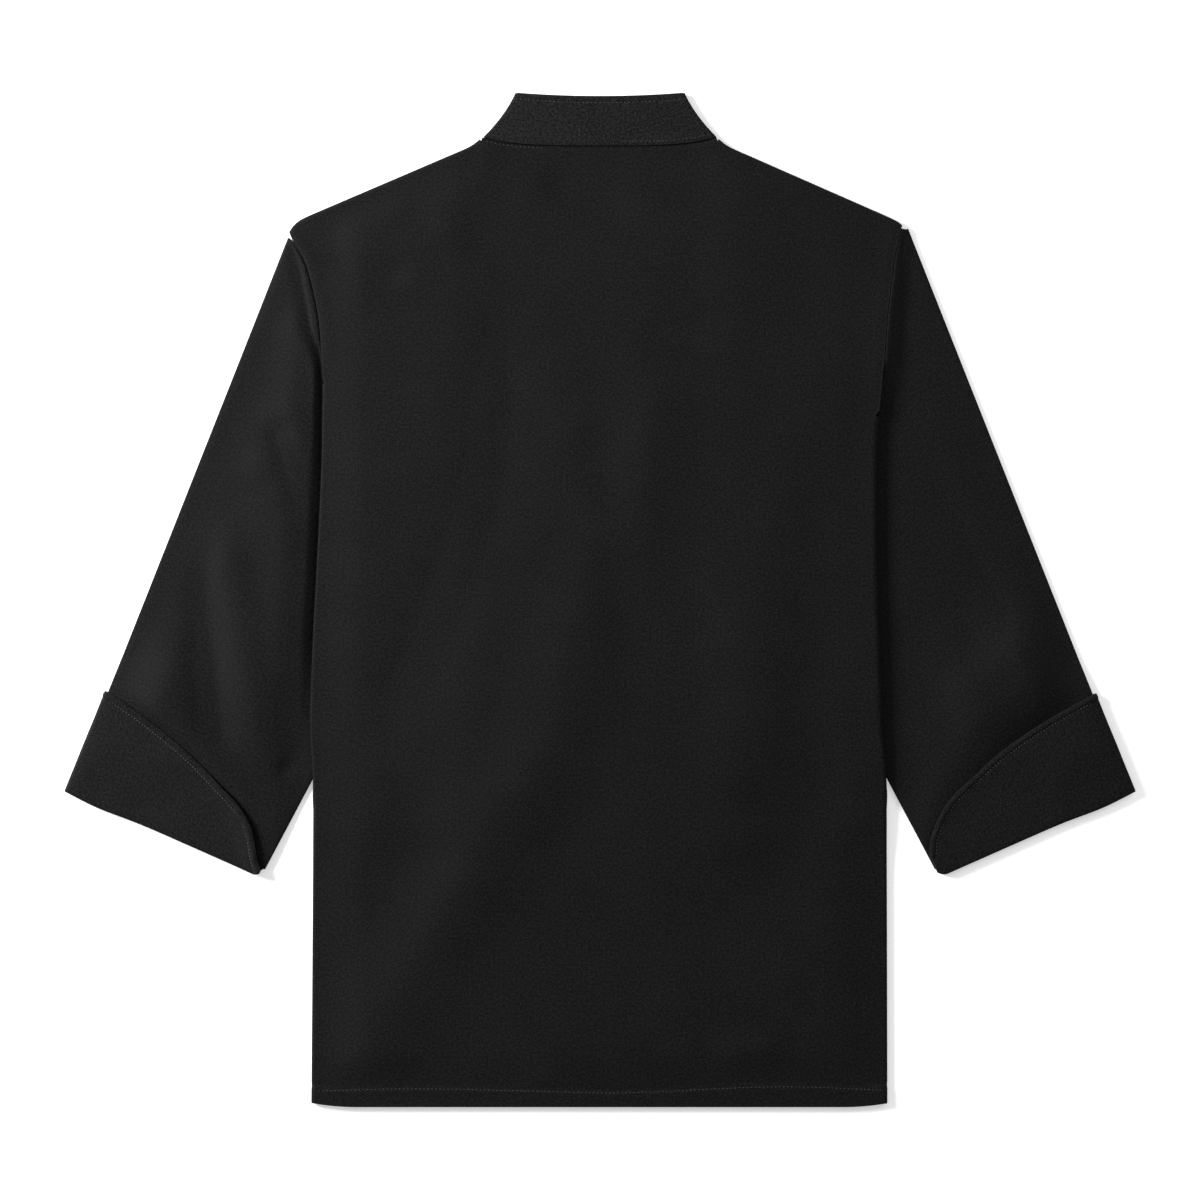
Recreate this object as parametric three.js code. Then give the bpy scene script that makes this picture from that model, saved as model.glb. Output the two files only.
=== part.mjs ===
// A chef jacket that lies flat with its back up. Every cut piece is a thin wall of cloth, and the
// panels lie on each other. The sides are folded under, so the sleeves come out from beneath them.
//
// Millimetres. The origin is on the surface, under the middle of the jacket. +X runs to the
// wearer's right sleeve, +Y to the collar and +Z up. Outlines are given for one side at a time:
// u is the distance outwards from the middle line, and a side's sign turns it into x.

import * as THREE from 'three';

// ---- Cloth ----

const CLOTH = 1.0; // wall of one layer of twill
const CUFF_WALL = 1.4; // two layers of twill
const COLLAR_WALL = 1.6; // two layers and the stiffening
const SEAM_GAP = 0.5; // between two pieces sewn edge to edge
const LAYER_GAP = 0.45; // between two layers that lie on each other
const CUFF_GAP = 0.3; // between a sleeve and the cuff round it

// ---- Body ----

const HEM_Y = -400.5;
const HEM_CORNER = { reach: 36, rise: 3.3 }; // the hem's ends curl up a little
const UNDERARM = { u: 128.5, y: 45 }; // where armhole, side seam and sleeve seam meet
const ARMHOLE_BEND = { y: 112 }; // the hidden armhole starts to turn inwards here
const ARMHOLE_HOLLOW = [176, 54];
const FREE_EDGE_U = -75; // each front runs this far past the middle line
// The folded-under part climbs over the sleeve's inner edge: distances before that edge at which
// the climb starts and ends, at the side's fold and at the side seam.
const FLAP_RAMP = { outerU: 227, outerFoot: 24, outerTop: 6, innerFoot: 54, innerTop: 30 };
const SHOULDER_TURN = 8; // the back's shoulder edge lies this far under
const SHOULDER_MIDDLE = 60; // from the collar out to where the fronts' shoulder line is set
const FRONT_CLEAR = 1; // the fronts' shoulder corners stay this far clear of the back
const FRONT_CORNER_Y = 268;
const NECK_HALF = 92.2;
const NECK_SEAM = { y: 359.3, rise: 6.3 }; // the seam rises at its ends
const SHOULDER = { u: 96.7, y: 360.8 }; // where the shoulder line leaves the collar

const SIDES = {
  left: {
    name: 'left',
    sign: -1,
    junctionY: 172, // here the armhole seam runs over the side's fold and out of sight
    tip: { u: 243.3, y: 291.5 },
    shoulderSlope: 0.4306,
    tipDrop: 6,
    sleeveHead: { u: 246.9, y: 286.2 },
    cuffInner: 167, // how far across the sleeve's end the cuff reaches
  },
  right: {
    name: 'right',
    sign: 1,
    junctionY: 146,
    tip: { u: 238.8, y: 297 },
    shoulderSlope: 0.4379,
    tipDrop: 1.7,
    sleeveHead: { u: 243.9, y: 293.4 },
    cuffInner: 169,
  },
};

// Half width of the body: the side's fold up to the junction, and the armhole seam above it.
const BODY_EDGE = [
  { y: -400.5, left: 228.3, right: 227.3 },
  { y: -300, left: 227.6, right: 227.1 },
  { y: -200, left: 227, right: 226.8 },
  { y: -140, left: 227, right: 226.2 },
  { y: -100, left: 228.9, right: 223.2 },
  { y: -40, left: 227.3, right: 221.2 },
  { y: 20, left: 224.2, right: 218.9 },
  { y: 70, left: 221.7, right: 218.4 },
  { y: 110, left: 220, right: 218.4 },
  { y: 146, left: 219.4, right: 220.2 },
  { y: 175, left: 219.1, right: 223 },
  { y: 198, left: 220.4, right: 225.1 },
  { y: 220, left: 222.1, right: 226.4 },
  { y: 243, left: 226.3, right: 229 },
  { y: 268, left: 233.6, right: 232.4 },
  { y: 286, left: 243.6, right: 235.9 },
  { y: 297, left: 248, right: 238.8 },
];

// ---- Sleeves and cuffs ----

const SLEEVE_END = { u: 423.4, y: -150.7, width: 170.3, lean: 0.4046 }; // outer corner of the cuff
const SLEEVE_IN_CUFF = 3.2; // the cuff's outer edge stands this far outside the sleeve
const SLEEVE_SHORT = 1.9; // the sleeve's end stays this far inside the cuff's turned edge
const INNER_CORNER = { reach: 8, rise: 5.5 }; // the inner corner of the sleeve's end is rounded
const CUFF_CLEAR = 6; // the sleeve is at the cuff's height this far before its free edge
const CUFF_RAMP = 30; // and climbs to it over this length

// Height of the cuff's free edge above the sleeve's end, from the outer to the inner edge.
const CUFF_EDGE = [
  { across: 0, left: 85.4, right: 83 },
  { across: 45, left: 76, right: 78.5 },
  { across: 85, left: 64, right: 71 },
  { across: 112, left: 53, right: 62 },
  { across: 131, left: 44.8, right: 55.5 },
  { across: 145, left: 35, right: 48 },
  { across: 154, left: 23.5, right: 40.5 },
  { across: 160, left: 14, right: 34.5 },
  { across: 164, left: 9, right: 30 },
  { across: 168, left: 4.9, right: 23 },
  { across: 170.3, left: 3.6, right: 18 },
];

// ---- Collar ----

const COLLAR_TOP = { half: 67.2, y: 397.8, rise: 2.5 };
const COLLAR_WAIST = 2.4; // its sides curve in by this much
const COLLAR_BACK_RISE = 0.9; // the back half of the band rises from the seam to its top
const FRONT_NECK = [[92.2, 365.3], [84, 322], [48, 290], [1.5, 288]]; // Bezier, fold to front
const FRONT_COLLAR_TOP = [[67.2, 400.3], [56, 352], [30, 330], [1.5, 326]];

// ---- Buttons ----

const BUTTON = { radius: 9, rim: 1.5, height: 2.2, dish: 0.6, sides: 10 };
const BUTTON_U = 65;
const BUTTON_Y = [240, 140, 40, -60, -160];
const BUTTON_LIFT = BUTTON.height + 0.3; // how far the buttons hold the layers up
// The lifted place fades out sideways from the buttons, and past both ends of the columns.
const LIFT_ACROSS = { from: 84, over: 80 };
const LIFT_BELOW = { from: -285, over: 85 };
const LIFT_ABOVE = { from: 250, over: 95 };

// ---- The largest folds: soft ridges from one point to another ----

const BACK_FOLDS = [
  { x1: -213, y1: -371, x2: -70, y2: -125, width: 32, height: 1.6 },
  { x1: -85, y1: -150, x2: 20, y2: 180, width: 34, height: 1.4 },
  { x1: 95, y1: -120, x2: 140, y2: 190, width: 38, height: 1.1 },
  { x1: -205, y1: 268, x2: -110, y2: 295, width: 22, height: 0.9 },
];
const SLEEVE_FOLDS = [
  { x1: -306, y1: 60, x2: -282, y2: -110, width: 20, height: 1.4 },
  { x1: -322, y1: 130, x2: -352, y2: 30, width: 16, height: 1.0 },
  { x1: 300, y1: 150, x2: 362, y2: -40, width: 22, height: 1.4 },
];

const FOLD_FADE = 0.3; // share of a fold's length over which each end fades

// ---- Where one layer climbs on to another ----

const BACK_OVER_SLEEVE = { across: { from: 70, over: 48 }, along: { from: -215, over: 40 } };
const FRONT_OVERLAP = { from: 84, over: 26 }; // the right front comes down off the left one
const SLEEVE_RISE = { above: 10, over: 35, across: 60 }; // up to the back at the armhole seam
const SLEEVE_FOLD_START = { from: 8, over: 25 }; // its folds start this far outside the body
const TIP_ROUND_U = 225; // the shoulder's tip is rounded from here
const COLLAR_FOLLOW = 0.6; // share of the fronts' rise that the stiffer collar follows

// ---- Steps of the walls ----

const ROWS_BELOW_UNDERARM = [HEM_Y, -370, -330, -285, -240, -200, -168, -144, -105, -55, -5, 45];
const FOOT_ROW = 6; // the last row before the folded-under part climbs on to the sleeve
const HIDDEN_STEPS = 6; // along the hidden stretch of the armhole
const VISIBLE_STEPS = 4; // along the stretch that shows
const SIDE_ROWS = 3; // rows of the back from the underarm's height up to the junction
const FOLD_STEPS = 4; // round a folded edge
const NECK_COLUMNS = [0, 0.25, 0.5, 0.75, 0.92, 1];
const SHOULDER_COLUMNS = [0, 0.15, 0.35, 0.55, 0.75, 0.92, 1];
const FLAP_COLUMNS = [0.25, 0.5, 0.75, 1];
const FRONT_SHOULDER_COLUMNS = [0.75, 0.5, 0.25, 0];
const FRONT_NECK_POINT_U = 91;
const FRONT_OVERLAP_COLUMNS = [-36, FREE_EDGE_U];
const LAST_FRONT_ROW = 5; // at least this far below the shoulder corner
const COLLAR_ROWS = [0, 0.35, 0.7, 1];
const COLLAR_FRONT_COLUMNS = [0.2, 0.4, 0.6, 0.8, 1];
const SLEEVE_ROLL = [12, 45]; // rows close to the armhole, in millimetres down the sleeve
const SLEEVE_MAIN_ROWS = 6;
const CUFF_COLUMNS = [163, 154, 145, 131, 112, 85, 45, 12]; // after the cuff's inner end

// ---- Small sums ----

const mix = (from, to, share) => from + (to - from) * share;
const ease = (value) => {
  const share = Math.min(1, Math.max(0, value));
  return share * share * (3 - 2 * share);
};

/** Soft step from 0 to 1 that starts at one place and takes a length. */
const climb = ({ from, over }, at) => ease((at - from) / over);

/** Smooth value of one column of a table whose rows run upwards in the key. */
function tableValue(rows, key, column, at) {
  const last = rows.length - 1;
  let i = rows.findIndex((row) => row[key] > at) - 1;
  if (i < 0) i = at < rows[0][key] ? 0 : last - 1;
  const slope = (k) => {
    const before = rows[Math.max(0, k - 1)];
    const after = rows[Math.min(last, k + 1)];
    return (after[column] - before[column]) / (after[key] - before[key]);
  };
  const span = rows[i + 1][key] - rows[i][key];
  const t = Math.min(1, Math.max(0, (at - rows[i][key]) / span));
  const rise = rows[i + 1][column] - rows[i][column];
  const start = slope(i) * span - rise;
  const end = rise - slope(i + 1) * span;
  return rows[i][column] + rise * t + t * (1 - t) * (start * (1 - t) + end * t);
}

/** Where a function that falls from positive to negative crosses zero. */
function crossing(value, low, high) {
  let [from, to] = [low, high];
  for (let step = 0; step < 40; step += 1) {
    const middle = (from + to) / 2;
    if (value(middle) > 0) from = middle;
    else to = middle;
  }
  return (from + to) / 2;
}

function bezier(points, t) {
  const s = 1 - t;
  const weights = [s ** 3, 3 * s * s * t, 3 * s * t * t, t ** 3];
  const sum = (axis) => points.reduce((total, point, i) => total + weights[i] * point[axis], 0);
  return { u: sum(0), y: sum(1) };
}

/** Height on a Bezier outline at a distance u, for outlines that run inwards. */
function bezierY(points, u) {
  return bezier(points, crossing((t) => bezier(points, t).u - u, 0, 1)).y;
}

function foldHeight(folds, x, y) {
  return folds.reduce((sum, fold) => {
    const dx = fold.x2 - fold.x1;
    const dy = fold.y2 - fold.y1;
    const length = Math.hypot(dx, dy);
    const along = ((x - fold.x1) * dx + (y - fold.y1) * dy) / length ** 2;
    const across = ((x - fold.x1) * dy - (y - fold.y1) * dx) / length;
    const half = FOLD_FADE / 2;
    const ends = ease((along + half) / FOLD_FADE) * ease((1 + half - along) / FOLD_FADE);
    return sum + fold.height * ends * Math.exp(-((across / fold.width) ** 2));
  }, 0);
}

// ---- Outlines ----

const bodyEdge = (side, y) => tableValue(BODY_EDGE, 'y', side.name, y);
const cuffEdge = (side, across) => tableValue(CUFF_EDGE, 'across', side.name, across);

/** Top outline of the back at a distance u from the middle: neck seam, shoulder, rounded tip. */
function backTop(side, u) {
  if (u <= NECK_HALF) return NECK_SEAM.y + NECK_SEAM.rise * (u / NECK_HALF) ** 4;
  const rounding = Math.max(0, (u - TIP_ROUND_U) / (side.tip.u - TIP_ROUND_U)) ** 4;
  return SHOULDER.y - side.shoulderSlope * (u - SHOULDER.u) - side.tipDrop * rounding;
}

/** The stretch of the armhole under the fold, from the junction in to the underarm. */
function hiddenArmhole(side) {
  const edge = bodyEdge(side, side.junctionY);
  return [[edge, side.junctionY], [edge, ARMHOLE_BEND.y], ARMHOLE_HOLLOW, [UNDERARM.u, UNDERARM.y]];
}

/** The whole armhole from the sleeve head to the underarm, with its outward normal. */
function armhole(side) {
  const points = [];
  for (let i = 0; i < VISIBLE_STEPS; i += 1) {
    const y = mix(side.sleeveHead.y, side.junctionY, i / VISIBLE_STEPS);
    points.push({ u: bodyEdge(side, y), y });
  }
  for (let i = 0; i <= HIDDEN_STEPS; i += 1) {
    points.push(bezier(hiddenArmhole(side), i / HIDDEN_STEPS));
  }
  return points.map((point, i) => {
    const before = points[Math.max(0, i - 1)];
    const after = points[Math.min(points.length - 1, i + 1)];
    const length = Math.hypot(after.u - before.u, after.y - before.y);
    const normal = { u: (before.y - after.y) / length, y: (after.u - before.u) / length };
    return { ...point, normal };
  });
}

/** Height of the sleeve's inner edge at a distance u, where it passes under the body. */
function innerEdgeY(u) {
  const corner = sleeveEndPoint(SLEEVE_END.width, 0);
  const slope = (corner.y - UNDERARM.y) / (corner.u - UNDERARM.u);
  return UNDERARM.y + slope * (u - UNDERARM.u);
}

/** A place on the sleeve's end: across from the outer corner, and up the sleeve. */
function sleeveEndPoint(across, up) {
  const level = Math.sqrt(1 - SLEEVE_END.lean ** 2);
  return {
    u: SLEEVE_END.u - level * across - SLEEVE_END.lean * up,
    y: SLEEVE_END.y - SLEEVE_END.lean * across + level * up,
  };
}

/** Rise of the rounded inner corner of the sleeve's end. */
function cornerRise(across) {
  const share = Math.max(0, (across - SLEEVE_END.width) / INNER_CORNER.reach + 1);
  return INNER_CORNER.rise * share ** 2;
}

/** How far up the sleeve a place is, past the free edge of the cuff. */
function pastCuff(side, u, y) {
  const level = Math.sqrt(1 - SLEEVE_END.lean ** 2);
  const du = SLEEVE_END.u - u;
  const dy = y - SLEEVE_END.y;
  const across = level * du - SLEEVE_END.lean * dy;
  const up = SLEEVE_END.lean * du + level * dy;
  return up - cuffEdge(side, Math.min(across, side.cuffInner));
}

// ---- Heights of the middle of each wall ----

const layer = (count) => CLOTH / 2 + count * (CLOTH + LAYER_GAP);

/** The buttons under the fronts hold up everything that lies on them. */
function buttonLift(x, y) {
  const across = 1 - climb(LIFT_ACROSS, Math.abs(x));
  const along = climb(LIFT_BELOW, y) * (1 - climb(LIFT_ABOVE, y));
  return BUTTON_LIFT * across * along;
}

function backHeight(x, y) {
  const { across, along } = BACK_OVER_SLEEVE;
  const overSleeve = climb(across, Math.abs(x)) * climb(along, y);
  return layer(2 + overSleeve) + buttonLift(x, y) + foldHeight(BACK_FOLDS, x, y);
}

/** Where the folded-under part climbs on to the sleeve, at a distance u: its foot and top. */
function flapRamp(u) {
  const inwards = (FLAP_RAMP.outerU - u) / (FLAP_RAMP.outerU - UNDERARM.u);
  return {
    foot: innerEdgeY(u) - mix(FLAP_RAMP.outerFoot, FLAP_RAMP.innerFoot, inwards),
    top: innerEdgeY(u) - mix(FLAP_RAMP.outerTop, FLAP_RAMP.innerTop, inwards),
  };
}

/** The part of the back that is folded under lies on the surface, or on the sleeve. */
function flapHeight(u, y) {
  const { foot, top } = flapRamp(u);
  return layer(2 * ease((y - foot) / (top - foot)));
}

function frontHeight(side, u, y) {
  const x = side.sign * u;
  const onLeftFront = side.sign > 0 ? 1 - climb(FRONT_OVERLAP, x) : 0;
  return layer(onLeftFront) + buttonLift(x, y);
}

/** Share of the climb to the cuff's level, from 0 on the plain sleeve to 1 in the cuff. */
function cuffShare(side, u, y) {
  return 1 - ease((pastCuff(side, u, y) - CUFF_CLEAR) / CUFF_RAMP);
}

function sleeveBottomHeight(side, u, y) {
  return layer(0) + (CUFF_WALL + CUFF_GAP) * cuffShare(side, u, y);
}

function sleeveTopHeight(side, u, y) {
  const edge = bodyEdge(side, Math.min(y, side.tip.y));
  const { above, over, across } = SLEEVE_RISE;
  const atSeam = ease((y - side.junctionY - above) / over) * (1 - ease((u - edge) / across));
  const seamRise = (backHeight(edge, Math.min(y, side.tip.y)) - layer(1)) * atSeam;
  const share = cuffShare(side, u, y);
  const folds = foldHeight(SLEEVE_FOLDS, side.sign * u, y) * climb(SLEEVE_FOLD_START, u - edge);
  return layer(1) + seamRise + (CUFF_WALL + CUFF_GAP) * share + folds * (1 - share);
}

// ---- Walls ----

/**
 * A closed wall of even thickness round a grid of points on its middle. A null leaves the grid
 * open there, and a closed grid joins its last column to its first.
 */
function wall(rows, thickness, closed = false) {
  const middles = [];
  const index = rows.map((row) => row.map((point) => (point ? middles.push(point) - 1 : null)));
  const faces = [];
  const width = rows[0].length;
  for (let r = 0; r + 1 < rows.length; r += 1) {
    for (let c = 0; c < (closed ? width : width - 1); c += 1) {
      const next = (c + 1) % width;
      const corners = [index[r][c], index[r][next], index[r + 1][next], index[r + 1][c]];
      if (!corners.includes(null)) {
        faces.push([corners[0], corners[1], corners[2]], [corners[0], corners[2], corners[3]]);
      }
    }
  }
  const normals = middles.map(() => new THREE.Vector3());
  for (const [a, b, c] of faces) {
    const normal = middles[b].clone().sub(middles[a]).cross(middles[c].clone().sub(middles[a]));
    for (const corner of [a, b, c]) normals[corner].add(normal);
  }
  normals.forEach((normal) => normal.setLength(thickness / 2));
  const count = middles.length;
  const points = [
    ...middles.map((point, i) => point.clone().add(normals[i])),
    ...middles.map((point, i) => point.clone().sub(normals[i])),
  ];
  const skin = [...faces, ...faces.map(([a, b, c]) => [a + count, c + count, b + count])];
  const directed = new Set(faces.flatMap(([a, b, c]) => [`${a} ${b}`, `${b} ${c}`, `${c} ${a}`]));
  for (const edge of directed) {
    const [a, b] = edge.split(' ').map(Number);
    if (!directed.has(`${b} ${a}`)) skin.push([b, a, a + count], [b, a + count, b + count]);
  }
  return solidGeometry(points, skin);
}

/** An indexed geometry of a closed skin, turned so that its faces point out. */
function solidGeometry(points, skin) {
  const volume = skin.reduce((sum, [a, b, c]) => {
    return sum + points[a].dot(points[b].clone().cross(points[c]));
  }, 0);
  const turned = volume < 0 ? skin.map(([a, b, c]) => [a, c, b]) : skin;
  const geometry = new THREE.BufferGeometry().setFromPoints(points);
  geometry.setIndex(turned.flat());
  geometry.computeVertexNormals();
  return geometry;
}

/** Points round a folded edge, from just under its upper layer to just over its lower one. */
function roundFold(centre, outward, radius) {
  const points = [];
  for (let step = 1; step < FOLD_STEPS; step += 1) {
    const angle = Math.PI * (0.5 - step / FOLD_STEPS);
    points.push(centre.clone()
      .addScaledVector(outward, radius * Math.cos(angle))
      .add(new THREE.Vector3(0, 0, radius * Math.sin(angle))));
  }
  return points;
}

const place = (side, u, y, z) => new THREE.Vector3(side.sign * u, y, z);

function hemRise(u) {
  const start = bodyEdge(SIDES.left, HEM_Y) - HEM_CORNER.reach;
  return HEM_CORNER.rise * Math.max(0, (Math.abs(u) - start) / HEM_CORNER.reach) ** 2;
}

// ---- Back ----

/** Heights of the back's rows at one side's edge, from the hem up to the shoulder tip. */
function backRowHeights(side) {
  const heights = [...ROWS_BELOW_UNDERARM];
  for (let i = 1; i <= SIDE_ROWS; i += 1) {
    heights.push(mix(UNDERARM.y, side.junctionY, i / SIDE_ROWS));
  }
  for (let i = 1; i < VISIBLE_STEPS; i += 1) {
    heights.push(mix(side.junctionY, side.sleeveHead.y, i / VISIBLE_STEPS));
  }
  return [...heights, side.tip.y];
}

const LAST_FOLDED_ROW = ROWS_BELOW_UNDERARM.length + SIDE_ROWS - 1;

/** Columns of one side of the back, from the middle outwards, by their place on the top edge. */
function backColumns(side) {
  return [
    ...NECK_COLUMNS.map((share) => ({ top: share * NECK_HALF, shoulder: false })),
    ...SHOULDER_COLUMNS.map((share) => ({
      top: mix(SHOULDER.u, side.tip.u, share),
      shoulder: true,
    })),
  ];
}

/** Radius of the fold at the side of the body at one height. */
function sideFoldRadius(side, y) {
  const edge = bodyEdge(side, y);
  return (backHeight(edge, y) - flapHeight(edge, y)) / 2;
}

/** A point of the back's upper panel. */
function panelPoint(side, row, column) {
  const own = backRowHeights(side);
  const other = backRowHeights(side === SIDES.left ? SIDES.right : SIDES.left);
  const share = column.top / side.tip.u;
  const level = (i) => mix((own[i] + other[i]) / 2, own[i], share);
  const top = backTop(side, column.top) - (column.shoulder ? 0 : SEAM_GAP / 2);
  const stretch = (top - UNDERARM.y) / (level(own.length - 1) - UNDERARM.y);
  const above = Math.max(0, level(row) - UNDERARM.y);
  const tipShare = (backTop(side, side.tip.u) - UNDERARM.y) / (side.tip.y - UNDERARM.y);
  const edgeY = Math.min(own[row], UNDERARM.y) + Math.max(0, own[row] - UNDERARM.y) * tipShare;
  let u = share * bodyEdge(side, edgeY);
  const y = Math.min(level(row), UNDERARM.y) + above * stretch + (row === 0 ? hemRise(u) : 0);
  if (share === 1) {
    u -= row > LAST_FOLDED_ROW ? SEAM_GAP / 2 : sideFoldRadius(side, own[row]) + CLOTH / 2;
  }
  return place(side, u, y, backHeight(u, y));
}

/** The fold at the side and the part of the back under it, in to the side seam. */
function sideFold(side, row) {
  const count = FOLD_STEPS + FLAP_COLUMNS.length;
  if (row > LAST_FOLDED_ROW) return Array(count).fill(null);
  const y = backRowHeights(side)[row];
  const radius = sideFoldRadius(side, y);
  const centreU = bodyEdge(side, y) - radius - CLOTH / 2;
  const rowY = y + (row === 0 ? hemRise(centreU) : 0);
  const centre = place(side, centreU, rowY, flapHeight(centreU, y) + radius);
  const under = FLAP_COLUMNS.map((share) => {
    const u = mix(centreU, UNDERARM.u + SEAM_GAP / 2, share);
    return flapPoint(side, u, row);
  });
  return [
    ...roundFold(centre, new THREE.Vector3(side.sign, 0, 0), radius),
    place(side, centreU, rowY, flapHeight(centreU, y)),
    ...under,
  ];
}

/** A point under the fold: its rows lean to follow the sleeve's edge and the armhole. */
function flapPoint(side, u, row) {
  const edgeY = backRowHeights(side)[row];
  const footY = ROWS_BELOW_UNDERARM[FOOT_ROW];
  const topY = ROWS_BELOW_UNDERARM[FOOT_ROW + 1];
  const ramp = flapRamp(u);
  const armholeY = bezierY(hiddenArmhole(side), Math.max(u, UNDERARM.u));
  const y = row <= FOOT_ROW
    ? mix(HEM_Y, ramp.foot, (edgeY - HEM_Y) / (footY - HEM_Y))
    : mix(ramp.top, armholeY, (edgeY - topY) / (side.junctionY - topY));
  return place(side, u, y, flapHeight(u, y));
}

/** The back's shoulder edge, turned over and a little way under: one list for each added row. */
function shoulderTurn(side, column) {
  if (!column.shoulder) return Array(FOLD_STEPS + 1).fill(null);
  const edge = new THREE.Vector3(side.sign * column.top, backTop(side, column.top), 0);
  const inward = shoulderInward(side);
  const radius = shoulderRadius(side, column.top);
  const centre = edge.clone().addScaledVector(inward, radius + CLOTH / 2);
  centre.z = layer(0) + radius;
  const under = centre.clone().setZ(layer(0));
  return [
    ...roundFold(centre, inward.clone().negate(), radius),
    under,
    under.clone().addScaledVector(inward, SHOULDER_TURN),
  ];
}

function shoulderInward(side) {
  return new THREE.Vector3(-side.sign * side.shoulderSlope, -1, 0).normalize();
}

function shoulderRadius(side, u) {
  return (backHeight(u, backTop(side, u)) - layer(0)) / 2;
}

function backRows() {
  const half = (side, row) => backColumns(side).map((column) => {
    const point = panelPoint(side, row, column);
    const isTop = row === backRowHeights(side).length - 1;
    if (!isTop || !column.shoulder) return point;
    const radius = shoulderRadius(side, column.top);
    return point.addScaledVector(shoulderInward(side), radius + CLOTH / 2)
      .setZ(layer(0) + 2 * radius);
  });
  const rowCount = backRowHeights(SIDES.left).length;
  const rows = [];
  for (let row = 0; row < rowCount; row += 1) {
    rows.push([
      ...sideFold(SIDES.left, row).reverse(),
      ...half(SIDES.left, row).reverse(),
      ...half(SIDES.right, row).slice(1),
      ...sideFold(SIDES.right, row),
    ]);
  }
  const turns = Object.values(SIDES).map((side) => {
    return backColumns(side).map((column) => shoulderTurn(side, column));
  });
  const blank = Array(FOLD_STEPS + FLAP_COLUMNS.length).fill(null);
  for (let added = 0; added <= FOLD_STEPS; added += 1) {
    const [left, right] = turns.map((columns) => columns.map((points) => points[added]));
    rows.push([...blank, ...left.reverse(), ...right.slice(1), ...blank]);
  }
  return rows;
}

// ---- Fronts ----

/** The line where a front meets the back's turned shoulder edge. */
function frontShoulderY(side, u) {
  const radius = shoulderRadius(side, SHOULDER.u + SHOULDER_MIDDLE);
  const inset = CLOTH / 2 + radius + SHOULDER_TURN + SEAM_GAP + FRONT_CLEAR;
  const steepness = Math.hypot(1, side.shoulderSlope);
  return SHOULDER.y - side.shoulderSlope * (u - SHOULDER.u) - inset * steepness;
}

/** The outer edge of a front: side seam, hidden armhole and the armhole up to the shoulder. */
function frontOuterEdge(side) {
  const seam = ROWS_BELOW_UNDERARM.slice(0, -1).map((y) => ({ u: UNDERARM.u - SEAM_GAP / 2, y }));
  const curve = armhole(side).reverse().map(({ u, y, normal }) => ({
    u: u - (normal.u * SEAM_GAP) / 2,
    y: y - (normal.y * SEAM_GAP) / 2,
  }));
  const below = curve.filter(({ u, y }) => y < frontShoulderY(side, u) - LAST_FRONT_ROW);
  const cornerU = (side.tip.u + bodyEdge(side, FRONT_CORNER_Y)) / 2 - FRONT_CLEAR;
  const cornerY = frontShoulderY(side, cornerU) - side.tipDrop - FRONT_CLEAR;
  return [...seam, ...below, { u: cornerU, y: cornerY }];
}

function frontRows(side) {
  const edge = frontOuterEdge(side);
  const corner = edge[edge.length - 1];
  const tops = [
    corner,
    ...FRONT_SHOULDER_COLUMNS.map((share) => {
      const u = mix(FRONT_NECK_POINT_U, corner.u, share);
      return { u, y: frontShoulderY(side, u) };
    }),
    ...COLLAR_FRONT_COLUMNS.map((along) => {
      const { u, y } = bezier(FRONT_NECK, along);
      return { u, y: y - SEAM_GAP };
    }),
    ...FRONT_OVERLAP_COLUMNS.map((u) => ({ u, y: FRONT_NECK[3][1] - SEAM_GAP })),
  ];
  return edge.map((outer) => tops.map((top) => {
    const share = (corner.u - top.u) / (corner.u - FREE_EDGE_U);
    const u = mix(outer.u, FREE_EDGE_U, share);
    const above = Math.max(0, outer.y - UNDERARM.y);
    const stretch = (top.y - UNDERARM.y) / (corner.y - UNDERARM.y);
    const y = Math.min(outer.y, UNDERARM.y) + above * stretch;
    return place(side, u, y, frontHeight(side, u, y));
  }));
}

// ---- Sleeves ----

/** Where each column of a sleeve starts at the armhole and ends in the cuff. */
function sleeveColumns(side) {
  const offset = SEAM_GAP / 2;
  const seam = armhole(side).map(({ u, y, normal }) => ({
    u: u + normal.u * offset,
    y: y + normal.y * offset,
  }));
  const starts = [side.sleeveHead, ...seam];
  return starts.map((from, i) => {
    const across = mix(SLEEVE_IN_CUFF, SLEEVE_END.width, i / (starts.length - 1));
    return { from, to: sleeveEndPoint(across, SLEEVE_SHORT + cornerRise(across)) };
  });
}

/** Shares of a column's length at which the sleeve has its rows. */
function sleeveStations(side, { from, to }) {
  const length = Math.hypot(to.u - from.u, to.y - from.y);
  const at = (share) => [mix(from.u, to.u, share), mix(from.y, to.y, share)];
  const cuff = crossing((share) => pastCuff(side, ...at(share)) - CUFF_CLEAR, 0, 1);
  const rolls = SLEEVE_ROLL.map((distance) => distance / length);
  const ramp = cuff - CUFF_RAMP / length;
  const stations = [0, ...rolls];
  for (let i = 1; i <= SLEEVE_MAIN_ROWS; i += 1) {
    stations.push(mix(rolls[rolls.length - 1], ramp, i / SLEEVE_MAIN_ROWS));
  }
  return [...stations, (ramp + cuff) / 2, cuff, (cuff + 1) / 2, 1];
}

/** A folded edge of the sleeve at one row: the points from its upper to its lower layer. */
function sleeveFold(side, point, inward) {
  const top = sleeveTopHeight(side, point.u, point.y);
  const bottom = sleeveBottomHeight(side, point.u, point.y);
  const radius = (top - bottom) / 2;
  const centre = place(side, point.u, point.y, (top + bottom) / 2);
  centre.addScaledVector(inward, radius + CLOTH / 2);
  return [
    centre.clone().setZ(top),
    ...roundFold(centre, inward.clone().negate(), radius),
    centre.clone().setZ(bottom),
  ];
}

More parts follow.
